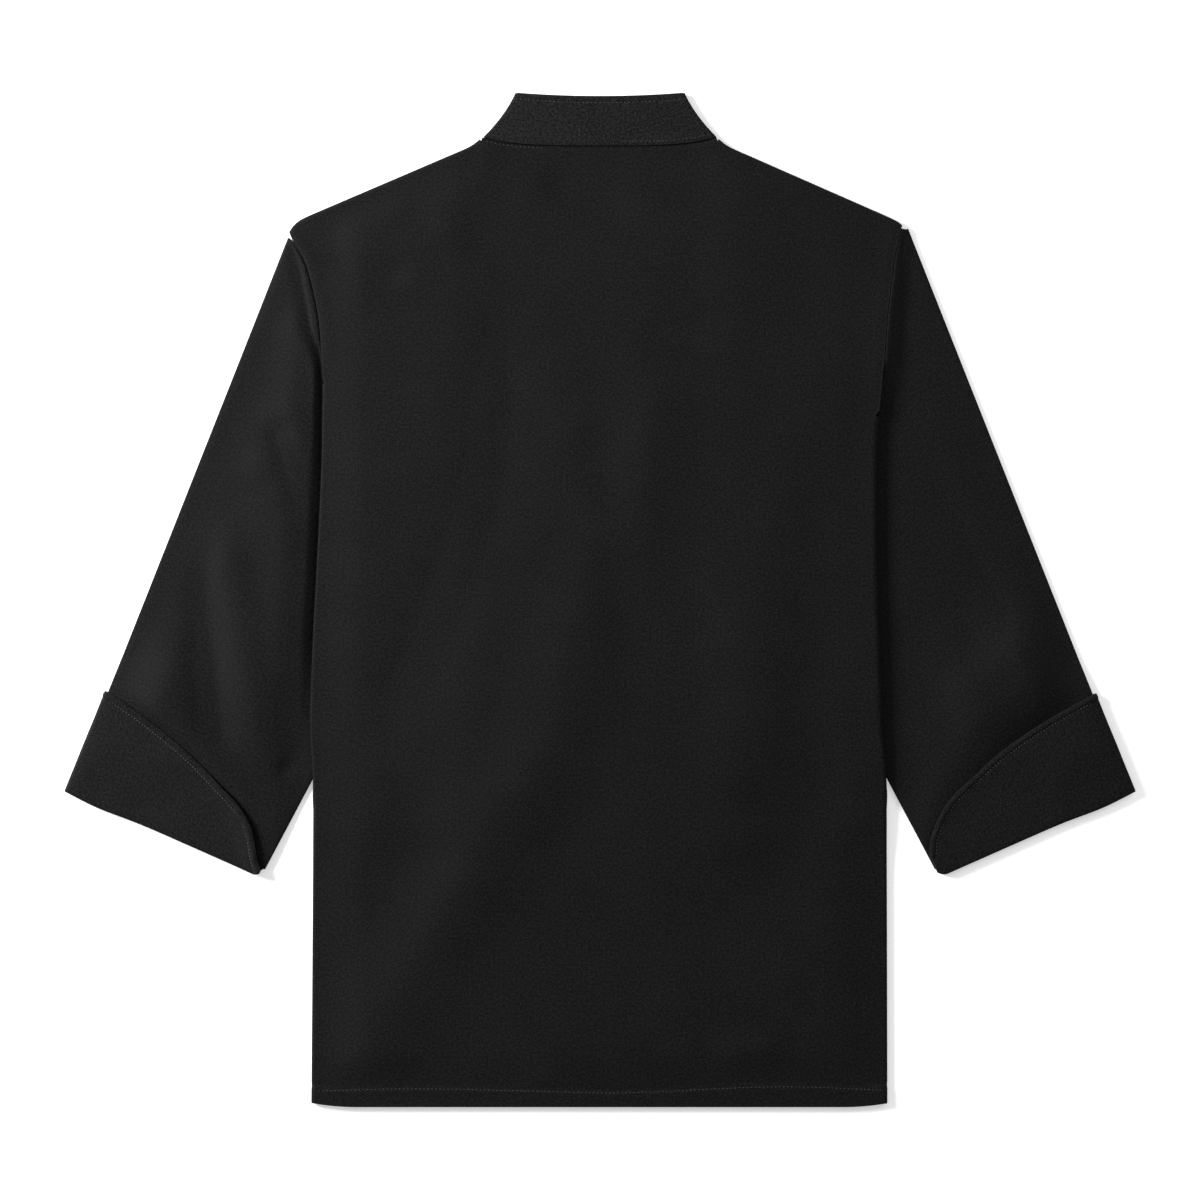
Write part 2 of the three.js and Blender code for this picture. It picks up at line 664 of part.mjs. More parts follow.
/** Direction into the sleeve, square to one of its two folded edges. */
function intoSleeve(side, { from, to }, towards) {
  const along = place(side, to.u - from.u, to.y - from.y, 0);
  const square = new THREE.Vector3(-along.y, along.x, 0).normalize();
  const guide = place(side, towards.from.u - from.u, towards.from.y - from.y, 0);
  return square.dot(guide) < 0 ? square.negate() : square;
}

function sleeveRows(side) {
  const columns = sleeveColumns(side);
  const stations = columns.map((column) => sleeveStations(side, column));
  const last = columns.length - 1;
  const outerInward = intoSleeve(side, columns[0], columns[last]);
  const innerInward = intoSleeve(side, columns[last], columns[0]);
  return stations[0].map((_, row) => {
    const points = columns.map(({ from, to }, i) => ({
      u: mix(from.u, to.u, stations[i][row]),
      y: mix(from.y, to.y, stations[i][row]),
    }));
    const between = points.slice(1, last);
    const outer = sleeveFold(side, points[0], outerInward);
    return [
      ...between.map(({ u, y }) => place(side, u, y, sleeveTopHeight(side, u, y))),
      ...sleeveFold(side, points[last], innerInward),
      ...between.reverse().map(({ u, y }) => place(side, u, y, sleeveBottomHeight(side, u, y))),
      ...outer.reverse(),
    ];
  });
}

// ---- Cuffs ----

const CUFF_LOW = CUFF_WALL / 2;
const CUFF_HIGH = layer(1) + CUFF_WALL + CUFF_GAP + CLOTH / 2 + CUFF_GAP + CUFF_WALL / 2;
const CUFF_TURN = 1.5; // radius of the turned edge at the sleeve's end
const CUFF_FLARE = 0.03; // the folded edge leans out by this share of its height

/** Rows of the cuff: share of its height, or for the turned edge, its angle. */
const CUFF_ROWS = [
  { share: 1, angle: 0 },
  { share: 0.66, angle: 0 },
  { share: 0.33, angle: 0 },
  { share: 0, angle: 0 },
  { share: 0, angle: Math.PI / 4 },
  { share: 0, angle: Math.PI / 2 },
];

function cuffPoint(side, row, across, high, flare = 0) {
  const flat = CUFF_WALL / 2 + CUFF_TURN;
  const low = flat + cornerRise(across);
  const up = mix(low, cuffEdge(side, across), row.share) - CUFF_TURN * Math.sin(row.angle);
  const drop = CUFF_TURN * (1 - Math.cos(row.angle));
  const { u, y } = sleeveEndPoint(across - flare * up, up);
  return place(side, u, y, high ? CUFF_HIGH - drop : CUFF_LOW + drop);
}

function cuffRows(side) {
  const columns = [side.cuffInner, ...CUFF_COLUMNS];
  const outward = place(side, Math.sqrt(1 - SLEEVE_END.lean ** 2), SLEEVE_END.lean, 0);
  return CUFF_ROWS.map((row) => {
    const drop = CUFF_TURN * (1 - Math.cos(row.angle));
    const radius = (CUFF_HIGH - CUFF_LOW) / 2 - drop;
    const inset = radius + CUFF_WALL / 2;
    const foldTop = cuffPoint(side, row, inset, true, CUFF_FLARE);
    const foldBottom = cuffPoint(side, row, inset, false, CUFF_FLARE);
    const centre = foldTop.clone().add(foldBottom).multiplyScalar(0.5);
    return [
      ...columns.map((across) => cuffPoint(side, row, across, true)),
      foldTop,
      ...roundFold(centre, outward, radius),
      foldBottom,
      ...[...columns].reverse().map((across) => cuffPoint(side, row, across, false)),
    ];
  });
}

// ---- Collar ----

function collarBackHeight(share) {
  return layer(2) + (COLLAR_WALL - CLOTH) / 2 + COLLAR_BACK_RISE * share;
}

/** Height of the collar's front half: it lies on the surface, or on the other front. */
function collarFrontHeight(side, u, y) {
  return COLLAR_WALL / 2 + (frontHeight(side, u, y) - layer(0)) * COLLAR_FOLLOW;
}

function collarBackPoint(side, across, share) {
  const half = mix(NECK_HALF, COLLAR_TOP.half, share) - COLLAR_WAIST * 4 * share * (1 - share);
  const inset = collarFoldInset(side, share);
  const u = across * (half - inset);
  const seamY = NECK_SEAM.y + NECK_SEAM.rise * across ** 4 + SEAM_GAP / 2;
  const y = mix(seamY, COLLAR_TOP.y + COLLAR_TOP.rise * across ** 2, share);
  return place(side, u, y, collarBackHeight(share));
}

function collarFoldInset(side, share) {
  const front = collarFrontHeight(side, NECK_HALF, COLLAR_TOP.y);
  return (collarBackHeight(share) - front) / 2 + COLLAR_WALL / 2;
}

function collarFrontPoint(side, along, share) {
  const low = bezier(FRONT_NECK, along);
  const high = bezier(FRONT_COLLAR_TOP, along);
  const inset = collarFoldInset(side, share) * (1 - along);
  const waist = COLLAR_WAIST * 4 * share * (1 - share) * (1 - along);
  const u = mix(low.u, high.u, share) - inset - waist;
  const y = mix(low.y, high.y, share);
  return place(side, u, y, collarFrontHeight(side, u, y));
}

function collarRows() {
  const front = (side, share) => {
    const top = collarBackPoint(side, 1, share);
    const radius = collarFoldInset(side, share) - COLLAR_WALL / 2;
    const centre = top.clone().setZ(top.z - radius);
    return [
      ...roundFold(centre, new THREE.Vector3(side.sign, 0, 0), radius),
      centre.clone().setZ(centre.z - radius),
      ...COLLAR_FRONT_COLUMNS.map((along) => collarFrontPoint(side, along, share)),
    ];
  };
  const half = (side, share) => NECK_COLUMNS.map((across) => collarBackPoint(side, across, share));
  return COLLAR_ROWS.map((share) => [
    ...front(SIDES.left, share).reverse(),
    ...half(SIDES.left, share).reverse(),
    ...half(SIDES.right, share).slice(1),
    ...front(SIDES.right, share),
  ]);
}

// ---- Buttons ----

/** A round button with its dished face down. */
function buttonGeometry() {
  const { radius, rim, height, dish, sides } = BUTTON;
  const profile = [
    [0, dish], [radius - 2 * rim, dish], [radius - rim, 0], [radius - rim / 2, 0],
    [radius, height / 2], [radius - rim / 2, height], [0, height],
  ].map(([r, z]) => new THREE.Vector2(r, z));
  return new THREE.LatheGeometry(profile, sides).rotateX(Math.PI / 2);
}

// ---- Jacket ----

const TWILL_COLOUR = 0x262626;
const BUTTON_COLOUR = 0x1a1a1a;
const TWILL_ROUGHNESS = 0.92;
const BUTTON_ROUGHNESS = 0.45;

function piece(name, geometry, color, roughness) {
  const material = new THREE.MeshStandardMaterial({ color, roughness, metalness: 0 });
  const mesh = new THREE.Mesh(geometry, material);
  mesh.name = name;
  return mesh;
}

const clothPiece = (name, geometry) => piece(name, geometry, TWILL_COLOUR, TWILL_ROUGHNESS);

function chefJacket() {
  const jacket = new THREE.Group();
  jacket.add(clothPiece('back', wall(backRows(), CLOTH)));
  jacket.add(clothPiece('collar', wall(collarRows(), COLLAR_WALL)));
  for (const side of Object.values(SIDES)) {
    jacket.add(clothPiece(`front_${side.name}`, wall(frontRows(side), CLOTH)));
    jacket.add(clothPiece(`sleeve_${side.name}`, wall(sleeveRows(side), CLOTH, true)));
    jacket.add(clothPiece(`cuff_${side.name}`, wall(cuffRows(side), CUFF_WALL)));
    BUTTON_Y.forEach((y, i) => {
      const name = `button_${side.name}_${i + 1}`;
      const button = piece(name, buttonGeometry(), BUTTON_COLOUR, BUTTON_ROUGHNESS);
      button.position.set(side.sign * BUTTON_U, y, 0);
      jacket.add(button);
    });
  }
  return jacket;
}

export default chefJacket();
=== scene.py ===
"""Looks of a chef jacket that lies flat with its back up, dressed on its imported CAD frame.

Sizes are in millimetres, and become metres when a mesh is made. +X runs to the wearer's right
sleeve, +Y to the collar and +Z up. Outlines are given for one side at a time: u is the distance
outwards from the middle line, and a side's sign turns it into x.
"""

import logging
import math
from collections.abc import Callable
from dataclasses import dataclass
from enum import Enum

import bpy
import numpy as np
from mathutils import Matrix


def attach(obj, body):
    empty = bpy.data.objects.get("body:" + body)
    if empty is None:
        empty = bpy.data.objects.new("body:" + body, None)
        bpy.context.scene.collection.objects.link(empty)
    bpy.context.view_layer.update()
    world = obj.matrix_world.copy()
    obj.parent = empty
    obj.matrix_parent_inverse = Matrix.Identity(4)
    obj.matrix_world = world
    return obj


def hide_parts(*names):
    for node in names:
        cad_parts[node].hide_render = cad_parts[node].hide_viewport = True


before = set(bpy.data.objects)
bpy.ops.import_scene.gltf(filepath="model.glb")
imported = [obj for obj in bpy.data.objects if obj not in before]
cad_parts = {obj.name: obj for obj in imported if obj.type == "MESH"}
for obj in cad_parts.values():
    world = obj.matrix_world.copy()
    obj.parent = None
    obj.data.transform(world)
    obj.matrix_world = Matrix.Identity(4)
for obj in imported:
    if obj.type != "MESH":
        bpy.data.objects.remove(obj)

LOG = logging.getLogger("chef_jacket")
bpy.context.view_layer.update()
MM = 0.001
BODY = "root"
WEAVE_UV = "weave"
# vertex attribute, 1 along every edge, that carries a painted highlight there
PAINTED_HIGHLIGHT = "painted_highlight"
Array = np.ndarray
HALVINGS = 30  # of a range that is searched
SLIGHT_WAVES = (  # turns per mm across and along, and a phase
    (0.061, 0.023, 0.0), (-0.034, 0.071, 1.7), (0.097, -0.052, 4.1), (0.019, 0.113, 2.6),
)


# ---- Small sums ----


def mix(start: Array, end: Array, share: Array) -> Array:
    """The value at a share of the way from start to end."""
    return start + (end - start) * share


def ease(value: Array) -> Array:
    """A soft step from 0 to 1 while value goes from 0 to 1."""
    share = np.clip(value, 0.0, 1.0)
    return share * share * (3.0 - 2.0 * share)


def bell(distance: Array, width: float) -> Array:
    """A soft bump of height 1 and the given width."""
    return np.exp(-((distance / width) ** 2))


@dataclass(frozen=True)
class Step:
    """A soft step from 0 to 1 over a length past its start, backwards where that is negative."""

    start: float
    length: float

    def at(self, value: Array) -> Array:
        """Its height at a value."""
        return ease((value - self.start) / self.length)


@dataclass(frozen=True)
class Bump:
    """A soft bump across a line, or a dip where its height is negative."""

    centre: float
    width: float
    height: float = 1.0

    def at(self, value: Array) -> Array:
        """Its height at a value."""
        return self.height * bell(value - self.centre, self.width)


@dataclass(frozen=True)
class Pucker:
    """Small uneven waves along a seam."""

    height: float
    rate: float
    sway: float
    drift: float

    def at(self, place: Array, slow: Array) -> Array:
        """Its height at a place, whose waves shift with a slower measure."""
        return self.height * np.sin(place * self.rate + self.sway * np.sin(slow * self.drift))
def crossing(value: Callable[[Array], Array], low: Array, high: Array) -> Array:
    """Find where a falling function crosses zero.

    Args:
        value: the function, positive at low and negative at high.
        low: the starts of the ranges searched.
        high: their ends.

    Returns:
        The place of each crossing.
    """
    for _ in range(HALVINGS):
        middle = (low + high) / 2
        positive = value(middle) > 0
        low, high = np.where(positive, middle, low), np.where(positive, high, middle)
    return (low + high) / 2


def steps(start: float, end: float, pitch: float) -> Array:
    """Even steps after start up to end, about pitch apart."""
    count = max(1, math.ceil(abs(end - start) / pitch))
    return np.linspace(start, end, count + 1)[1:]


@dataclass(frozen=True)
class Outline:
    """A smooth line through points whose keys rise."""

    keys: tuple[float, ...]
    values: tuple[float, ...]

    def at(self, key: Array) -> Array:
        """Read the line.

        Args:
            key: where to read it.

        Returns:
            Its value there, level beyond both ends.
        """
        keys, values = np.array(self.keys), np.array(self.values)
        last = len(keys) - 1
        before = np.clip(np.arange(last + 1) - 1, 0, last)
        after = np.clip(np.arange(last + 1) + 1, 0, last)
        slopes = (values[after] - values[before]) / (keys[after] - keys[before])
        i = np.clip(np.searchsorted(keys, key, side="right") - 1, 0, last - 1)
        span = keys[i + 1] - keys[i]
        t = np.clip((key - keys[i]) / span, 0.0, 1.0)
        rise = values[i + 1] - values[i]
        start = slopes[i] * span - rise
        end = rise - slopes[i + 1] * span
        return values[i] + rise * t + t * (1 - t) * (start * (1 - t) + end * t)


@dataclass(frozen=True)
class Bow:
    """A Bezier line in the plane of the cloth, by its four points."""

    points: tuple[tuple[float, float], ...]

    def at(self, t: Array) -> tuple[Array, Array]:
        """The u and y of the line at parameter t.

        Args:
            t: the parameter.

        Returns:
            Its u and its y.
        """
        s = 1.0 - np.asarray(t, dtype=float)
        weights = (s**3, 3 * s * s * t, 3 * s * t * t, t**3)
        u = sum(w * p[0] for w, p in zip(weights, self.points))
        y = sum(w * p[1] for w, p in zip(weights, self.points))
        return u, y

    def height_at(self, u: Array) -> Array:
        """The y of a line that runs inwards, at a distance u."""
        zeros = np.zeros_like(u)
        return self.at(crossing(lambda t: self.at(t)[0] - u, zeros, zeros + 1.0))[1]


@dataclass(frozen=True)
class Crease:
    """A soft ridge, or a trough where its height is negative, from one place to another."""

    start: tuple[float, float]
    end: tuple[float, float]
    width: float
    height: float
    bow: float = 0.0  # how far its middle stands aside
    fade: float = 0.3  # share of its length over which each end fades

    def at(self, x: Array, y: Array) -> Array:
        """Its height at each place.

        Args:
            x: places across.
            y: places up.

        Returns:
            The height.
        """
        dx, dy = self.end[0] - self.start[0], self.end[1] - self.start[1]
        length = math.hypot(dx, dy)
        along = ((x - self.start[0]) * dx + (y - self.start[1]) * dy) / length**2
        across = ((x - self.start[0]) * dy - (y - self.start[1]) * dx) / length
        across = across - self.bow * 4 * along * (1 - along)
        half = self.fade / 2
        ends = ease((along + half) / self.fade) * ease((1 + half - along) / self.fade)
        return self.height * ends * bell(across, self.width)


def relief(creases: tuple[Crease, ...], x: Array, y: Array) -> Array:
    """The heights of several creases added up."""
    return sum((crease.at(x, y) for crease in creases), np.zeros_like(x))


def unevenness(x: Array, y: Array, turn: float) -> Array:
    """Slight waves that no cloth is without, between -1 and 1.

    Args:
        x: places across.
        y: places along.
        turn: a phase that makes each piece differ.

    Returns:
        The height of the waves.
    """
    total = sum(np.sin(kx * x + ky * y + phase + turn) for kx, ky, phase in SLIGHT_WAVES)
    return total / len(SLIGHT_WAVES)


# ---- The two sides ----


@dataclass(frozen=True)
class Side:
    """The sizes that differ between the wearer's left and right."""

    name: str
    sign: float
    junction_y: float  # where the armhole seam runs over the side's fold
    tip: tuple[float, float]  # of the shoulder
    shoulder_slope: float
    tip_drop: float  # by which the tip is rounded off
    sleeve_head: tuple[float, float]
    body: Outline  # half width by height
    cuff: Outline  # the cuff's free edge, up the sleeve by across it
    cuff_inner: float  # how far across the sleeve's end the cuff reaches
    roll: float  # width of the seam allowance that shows as a roll on the sleeve
    fall: float  # distance over which the sleeve comes down from the armhole seam
    trough_depth: float  # beside the roll
    trough_length: float
    swell: float  # of the sleeve past the trough
    sleeve_dip: float  # how far the sleeve dips into the armhole seam
    body_dip: float  # how far the body does
    snug: Step  # the sleeve fills with air this far out
    tuck_height: float  # of the sleeve's rise past the cuff
    tuck_length: float
    cuff_curl: float  # how far the cuff's curved end stands up

    def edge(self, y: Array) -> Array:
        """Half width of the body at a height, up to the shoulder tip."""
        return self.body.at(np.minimum(y, self.tip[1]))


BODY_KEYS = (-400.5, -300, -200, -140, -100, -40, 20, 70, 110, 146, 175, 198, 220, 243, 268, 286, 297)
CUFF_KEYS = (0, 45, 85, 112, 131, 145, 154, 160, 164, 168, 170.3)
LEFT = Side(
    name="left", sign=-1, junction_y=172, tip=(243.3, 291.5), shoulder_slope=0.4306, tip_drop=6,
    sleeve_head=(246.9, 286.2),
    body=Outline(BODY_KEYS, (228.3, 227.6, 227, 227, 228.9, 227.3, 224.2, 221.7, 220,
                             219.4, 219.1, 220.4, 222.1, 226.3, 233.6, 243.6, 248)),
    cuff=Outline(CUFF_KEYS, (85.4, 76, 64, 53, 44.8, 35, 23.5, 14, 9, 4.9, 3.6)),
    cuff_inner=167, roll=7.0, fall=60.0, trough_depth=1.0, trough_length=13.0, swell=4.4,
    sleeve_dip=1.8, body_dip=0.2, snug=Step(6, 25), tuck_height=6.0, tuck_length=14,
    cuff_curl=2.8,
)
RIGHT = Side(
    name="right", sign=1, junction_y=146, tip=(238.8, 297), shoulder_slope=0.4379, tip_drop=1.7,
    sleeve_head=(243.9, 293.4),
    body=Outline(BODY_KEYS, (227.3, 227.1, 226.8, 226.2, 223.2, 221.2, 218.9, 218.4, 218.4,
                             220.2, 223, 225.1, 226.4, 229, 232.4, 235.9, 238.8)),
    cuff=Outline(CUFF_KEYS, (83, 78.5, 71, 62, 55.5, 48, 40.5, 34.5, 30, 23, 18)),
    cuff_inner=169, roll=5.2, fall=15.0, trough_depth=1.1, trough_length=10.0, swell=0.0,
    sleeve_dip=1.4, body_dip=0.0, snug=Step(14, 70), tuck_height=10.0, tuck_length=40,
    cuff_curl=0.5,
)
SIDES = (LEFT, RIGHT)


# ---- How the layers lie ----


@dataclass(frozen=True)
class Cut:
    """The jacket's outlines, and the heights of the middle of each layer of cloth."""

    # Walls and gaps
    cloth: float = 1.0
    cuff_wall: float = 1.4
    collar_wall: float = 1.6
    seam_gap: float = 0.5
    layer_gap: float = 0.45
    cuff_gap: float = 0.3
    # Body
    hem_y: float = -400.5
    hem_corner: tuple[float, float] = (36.0, 3.3)  # reach and rise
    hem_band: float = 12.0
    underarm: tuple[float, float] = (128.5, 45.0)
    armhole_turn_y: float = 112.0  # to which the hidden armhole runs straight down
    armhole_pull: tuple[float, float] = (176.0, 54.0)
    free_edge_u: float = -75.0
    neck_half: float = 92.2
    neck_seam: tuple[float, float] = (359.3, 6.3)  # height and rise at its ends
    front_neck: Bow = Bow(((92.2, 365.3), (84.0, 322.0), (48.0, 290.0), (1.5, 288.0)))
    shoulder: tuple[float, float] = (96.7, 360.8)
    shoulder_turn: float = 8.0
    tip_round_u: float = 225.0
    collar_fillet: tuple[float, float] = (12.0, 3.4)  # reach and rise of the shoulder's curve
    flap_outer: tuple[float, float, float] = (227.0, 24.0, 6.0)  # u, foot and top of the climb
    flap_inner: tuple[float, float] = (54.0, 30.0)  # foot and top at the side seam
    # Sleeve's outline
    sleeve_end: tuple[float, float] = (423.4, -150.7)
    sleeve_width: float = 170.3
    sleeve_lean: float = 0.4046
    inner_corner: tuple[float, float] = (8.0, 5.5)  # reach and rise
    # What lifts the body
    button_lift: float = 2.5
    beside_buttons: Step = Step(84, 80)
    below_buttons: Step = Step(-285, 85)
    above_buttons: Step = Step(250, 95)
    overlap_edge: Step = Step(84, 26)  # where the right front comes down off the left one
    over_sleeve: Step = Step(70, 48)
    above_sleeve_end: Step = Step(-215, 40)
    # Air and creases in the back
    back_air: float = 2.4
    back_waves: tuple[float, float] = (2.0, 0.2)  # of the creases and of the slight waves
    back_sides: Step = Step(224, -40)
    back_ends: tuple[float, float] = (45.0, 40.0)  # lengths over which hem and top lie flat
    back_creases: tuple[Crease, ...] = ()
    edge_creases: tuple[Crease, ...] = ()
    front_creases: tuple[Crease, ...] = ()
    # Air and creases in the sleeves
    cuff_climb: Step = Step(6, 30)  # past the cuff, from its level to the sleeve's
    sleeve_air: float = 1.8
    sleeve_waves: tuple[float, float] = (1.6, 0.12)  # of the creases and of the slight waves
    sleeve_outer: Step = Step(0, 45)  # across, in from the outer fold
    sleeve_creases: tuple[Crease, ...] = ()
    tuck_end: tuple[float, float] = (1.3, 75.0)  # in tuck lengths, and the length of its fall
    tuck_out: Step = Step(20, 110)
    # Seam of the sleeve, by the height above the junction or by y
    seam_start: Step = Step(10, 35)
    roll_start: Step = Step(18, 26)
    roll_narrows: Step = Step(240, 45)
    roll_loss: float = 0.55
    roll_least: float = 1.5
    roll_rise: Step = Step(0, 0.2)  # in shares of the roll
    roll_end: Step = Step(0.75, 0.25)
    puff_least: float = 6.0
    puff_fall: float = 60.0
    puff_outer: Step = Step(0, 60)
    puff_above: Step = Step(-125, 110)

    def layer(self, count: Array) -> Array:
        """Height of the middle of the count-th layer from the surface."""
        return self.cloth / 2 + count * (self.cloth + self.layer_gap)

    def back_top(self, side: Side, u: Array) -> Array:
        """Top outline of the back: neck seam, shoulder and rounded tip.

        Args:
            side: which side.
            u: places outwards.

        Returns:
            Its height at each place.
        """
        neck = self.neck_seam[0] + self.neck_seam[1] * (u / self.neck_half) ** 4
        rounding = np.maximum(0, (u - self.tip_round_u) / (side.tip[0] - self.tip_round_u)) ** 4
        shoulder = self.shoulder[1] - side.shoulder_slope * (u - self.shoulder[0])
        reach, rise = self.collar_fillet
        shoulder = shoulder + rise * np.maximum(0, 1 - (u - self.neck_half) / reach) ** 2
        return np.where(u <= self.neck_half, neck, shoulder - side.tip_drop * rounding)

    def hem_rise(self, u: Array) -> Array:
        """How far the hem's ends curl up."""
        start = LEFT.edge(np.array(self.hem_y)) - self.hem_corner[0]
        return self.hem_corner[1] * np.maximum(0, (np.abs(u) - start) / self.hem_corner[0]) ** 2

    def hidden_armhole(self, side: Side) -> Bow:
        """The stretch of the armhole under the fold, in to the underarm."""
        edge = float(side.edge(np.array(side.junction_y)))
        return Bow(((edge, side.junction_y), (edge, self.armhole_turn_y), self.armhole_pull,
                    self.underarm))

    def armhole(self, side: Side, visible: int, hidden: int) -> tuple[Array, Array]:
        """The armhole from the sleeve head to the underarm.

        Args:
            side: which side.
            visible: steps along the stretch that shows.
            hidden: steps along the rest.

        Returns:
            Its points and its outward normals, each as rows of u and y.
        """
        y = np.linspace(side.sleeve_head[1], side.junction_y, visible + 1)[:-1]
        u2, y2 = self.hidden_armhole(side).at(np.linspace(0, 1, hidden + 1))
        points = np.stack([np.concatenate([side.edge(y), u2]), np.concatenate([y, y2])], axis=1)
        tangent = np.gradient(points, axis=0)
        tangent /= np.linalg.norm(tangent, axis=1, keepdims=True)
        return points, np.stack([-tangent[:, 1], tangent[:, 0]], axis=1)

    def inner_edge_y(self, u: Array) -> Array:
        """Height of the sleeve's inner edge where it passes under the body.

        Args:
            u: places outwards.

        Returns:
            The height at each place.
        """
        corner_u, corner_y = self.on_sleeve(np.array(self.sleeve_width), np.array(0.0))
        slope = (corner_y - self.underarm[1]) / (corner_u - self.underarm[0])
        return self.underarm[1] + slope * (u - self.underarm[0])

    @property
    def sleeve_level(self) -> float:
        """How far a step across the sleeve's end goes inwards."""
        return math.sqrt(1 - self.sleeve_lean**2)

    def on_sleeve(self, across: Array, up: Array) -> tuple[Array, Array]:
        """The u and y of a place across the sleeve's end and up from it."""
        u = self.sleeve_end[0] - self.sleeve_level * across - self.sleeve_lean * up
        return u, self.sleeve_end[1] - self.sleeve_lean * across + self.sleeve_level * up

    def from_sleeve(self, u: Array, y: Array) -> tuple[Array, Array]:
        """How far across and up the sleeve a place is.

        Args:
            u: places outwards.
            y: places up.

        Returns:
            Both distances.
        """
        level, lean = self.sleeve_level, self.sleeve_lean
        du, dy = self.sleeve_end[0] - u, y - self.sleeve_end[1]
        return level * du - lean * dy, lean * du + level * dy

    def past_cuff(self, side: Side, u: Array, y: Array) -> Array:
        """How far up the sleeve a place is past the cuff's free edge."""
        across, up = self.from_sleeve(u, y)
        return up - side.cuff.at(np.clip(across, 0, side.cuff_inner))

    def corner_rise(self, across: Array) -> Array:
        """Rise of the rounded inner corner of the sleeve's end."""
        reach, rise = self.inner_corner
        return rise * np.maximum(0, (across - self.sleeve_width) / reach + 1) ** 2

    def lift(self, x: Array, y: Array) -> Array:
        """How far the buttons under the fronts hold up what lies on them.

        Args:
            x: places across.
            y: places up.

        Returns:
            The height they add.
        """
        across = 1 - self.beside_buttons.at(np.abs(x))
        along = self.below_buttons.at(y) * (1 - self.above_buttons.at(y))
        return self.button_lift * across * along + relief(self.front_creases, x, y)

    def back_height(self, x: Array, y: Array) -> Array:
        """Height of the back's upper panel, without the finish of its edges.

        Args:
            x: places across.
            y: places up.

        Returns:
            The height of its middle.
        """
        u = np.abs(x)
        over_sleeve = self.over_sleeve.at(u) * self.above_sleeve_end.at(y)
        above_hem, below_top = self.back_ends
        loose = self.back_sides.at(u) * ease((y - self.hem_y) / above_hem)
        loose = loose * ease((self.back_top(LEFT, u) - y) / below_top)
        creased, slight = self.back_waves
        waves = creased * relief(self.back_creases, x, y) + slight * unevenness(x, y, 0.0)
        air = np.maximum(0.0, self.back_air + waves) * loose
        edge = relief(self.edge_creases, x, y)
        return self.layer(2 + over_sleeve) + self.lift(x, y) + air + edge

    def flap_ramp(self, u: Array) -> tuple[Array, Array]:
        """Heights at which the folded-under part starts and ends its climb on to the sleeve.

        Args:
            u: places outwards.

        Returns:
            The two heights.
        """
        outer_u, foot, top = self.flap_outer
        inwards = (outer_u - u) / (outer_u - self.underarm[0])
        edge = self.inner_edge_y(u)
        return tuple(edge - mix(outer, inner, inwards)
                     for outer, inner in zip((foot, top), self.flap_inner))

    def flap_height(self, u: Array, y: Array) -> Array:
        """The folded-under part lies on the surface, or on the sleeve."""
        foot, top = self.flap_ramp(u)
        return self.layer(2 * ease((y - foot) / (top - foot)))

    def front_height(self, side: Side, u: Array, y: Array) -> Array:
        """A front lies on the surface, or on the other front.

        Args:
            side: which side.
            u: places outwards.
            y: places up.

        Returns:
            The height of its middle.
        """
        x = side.sign * u
        on_left_front = 1 - self.overlap_edge.at(x) if side is RIGHT else 0.0
        return self.layer(on_left_front) + self.lift(x, y)

    def cuff_share(self, side: Side, u: Array, y: Array) -> Array:
        """Share of the climb to the cuff's level, 1 inside the cuff."""
        return 1 - self.cuff_climb.at(self.past_cuff(side, u, y))

    def sleeve_bottom(self, side: Side, u: Array, y: Array) -> Array:
        """Height of the sleeve's lower layer."""
        return self.layer(0) + (self.cuff_wall + self.cuff_gap) * self.cuff_share(side, u, y)

    def sleeve_fill(self, side: Side, u: Array, y: Array) -> Array:
        """Air in the sleeve, with its creases and its rise past the cuff.

        Args:
            side: which side.
            u: places outwards.
            y: places up.

        Returns:
            How far it holds the upper layer up.
        """
        out = u - side.edge(y)
        outer = self.sleeve_outer.at(self.from_sleeve(u, y)[0])
        loose = outer * side.snug.at(out) * (1 - self.cuff_share(side, u, y))
        creased, slight = self.sleeve_waves
        x = side.sign * u
        waves = relief(self.sleeve_creases, x, y) + slight * unevenness(x, y, 2.0)
        past = self.past_cuff(side, u, y)
        lengths, fall = self.tuck_end
        tuck = 1 - (1 - np.clip(past / side.tuck_length, 0, 1)) ** 2
        tuck = tuck * (1 - ease((past - lengths * side.tuck_length) / fall))
        tuck = side.tuck_height * tuck * outer * self.tuck_out.at(out)
        return np.maximum(0.0, self.sleeve_air + creased * waves) * loose + tuck

    def seam_relief(self, side: Side, u: Array, y: Array, seam: Array) -> Array:
        """The roll beside the armhole seam, the trough along it and the swell past them.

        Args:
            side: which side.
            u: places outwards.
            y: places up.
            seam: 1 where the seam shows, and 0 where it is hidden.

        Returns:
            The height they add.
        """
        out = u - side.edge(y)
        width = side.roll * self.roll_start.at(y - side.junction_y)
        width = width * (1 - self.roll_loss * self.roll_narrows.at(y))
        start = self.roll_least + np.maximum(0, width - self.roll_least) * seam
        part = np.clip(out / start, 0.0, 1.0)
        depth, length = side.trough_depth, side.trough_length
        roll = -side.sleeve_dip * (1 - self.roll_rise.at(part)) - depth * self.roll_end.at(part)
        outside = out - start
        puff = side.swell * ease(outside / mix(self.puff_least, length, seam))
        puff = puff * (1 - ease((outside - length) / self.puff_fall))
        across, _ = self.from_sleeve(u, y)
        puff = puff * self.puff_outer.at(across) * self.puff_above.at(y)
        beyond = puff - depth * seam * (1 - ease(outside / length))
        return np.where(outside < 0, roll * seam, beyond)

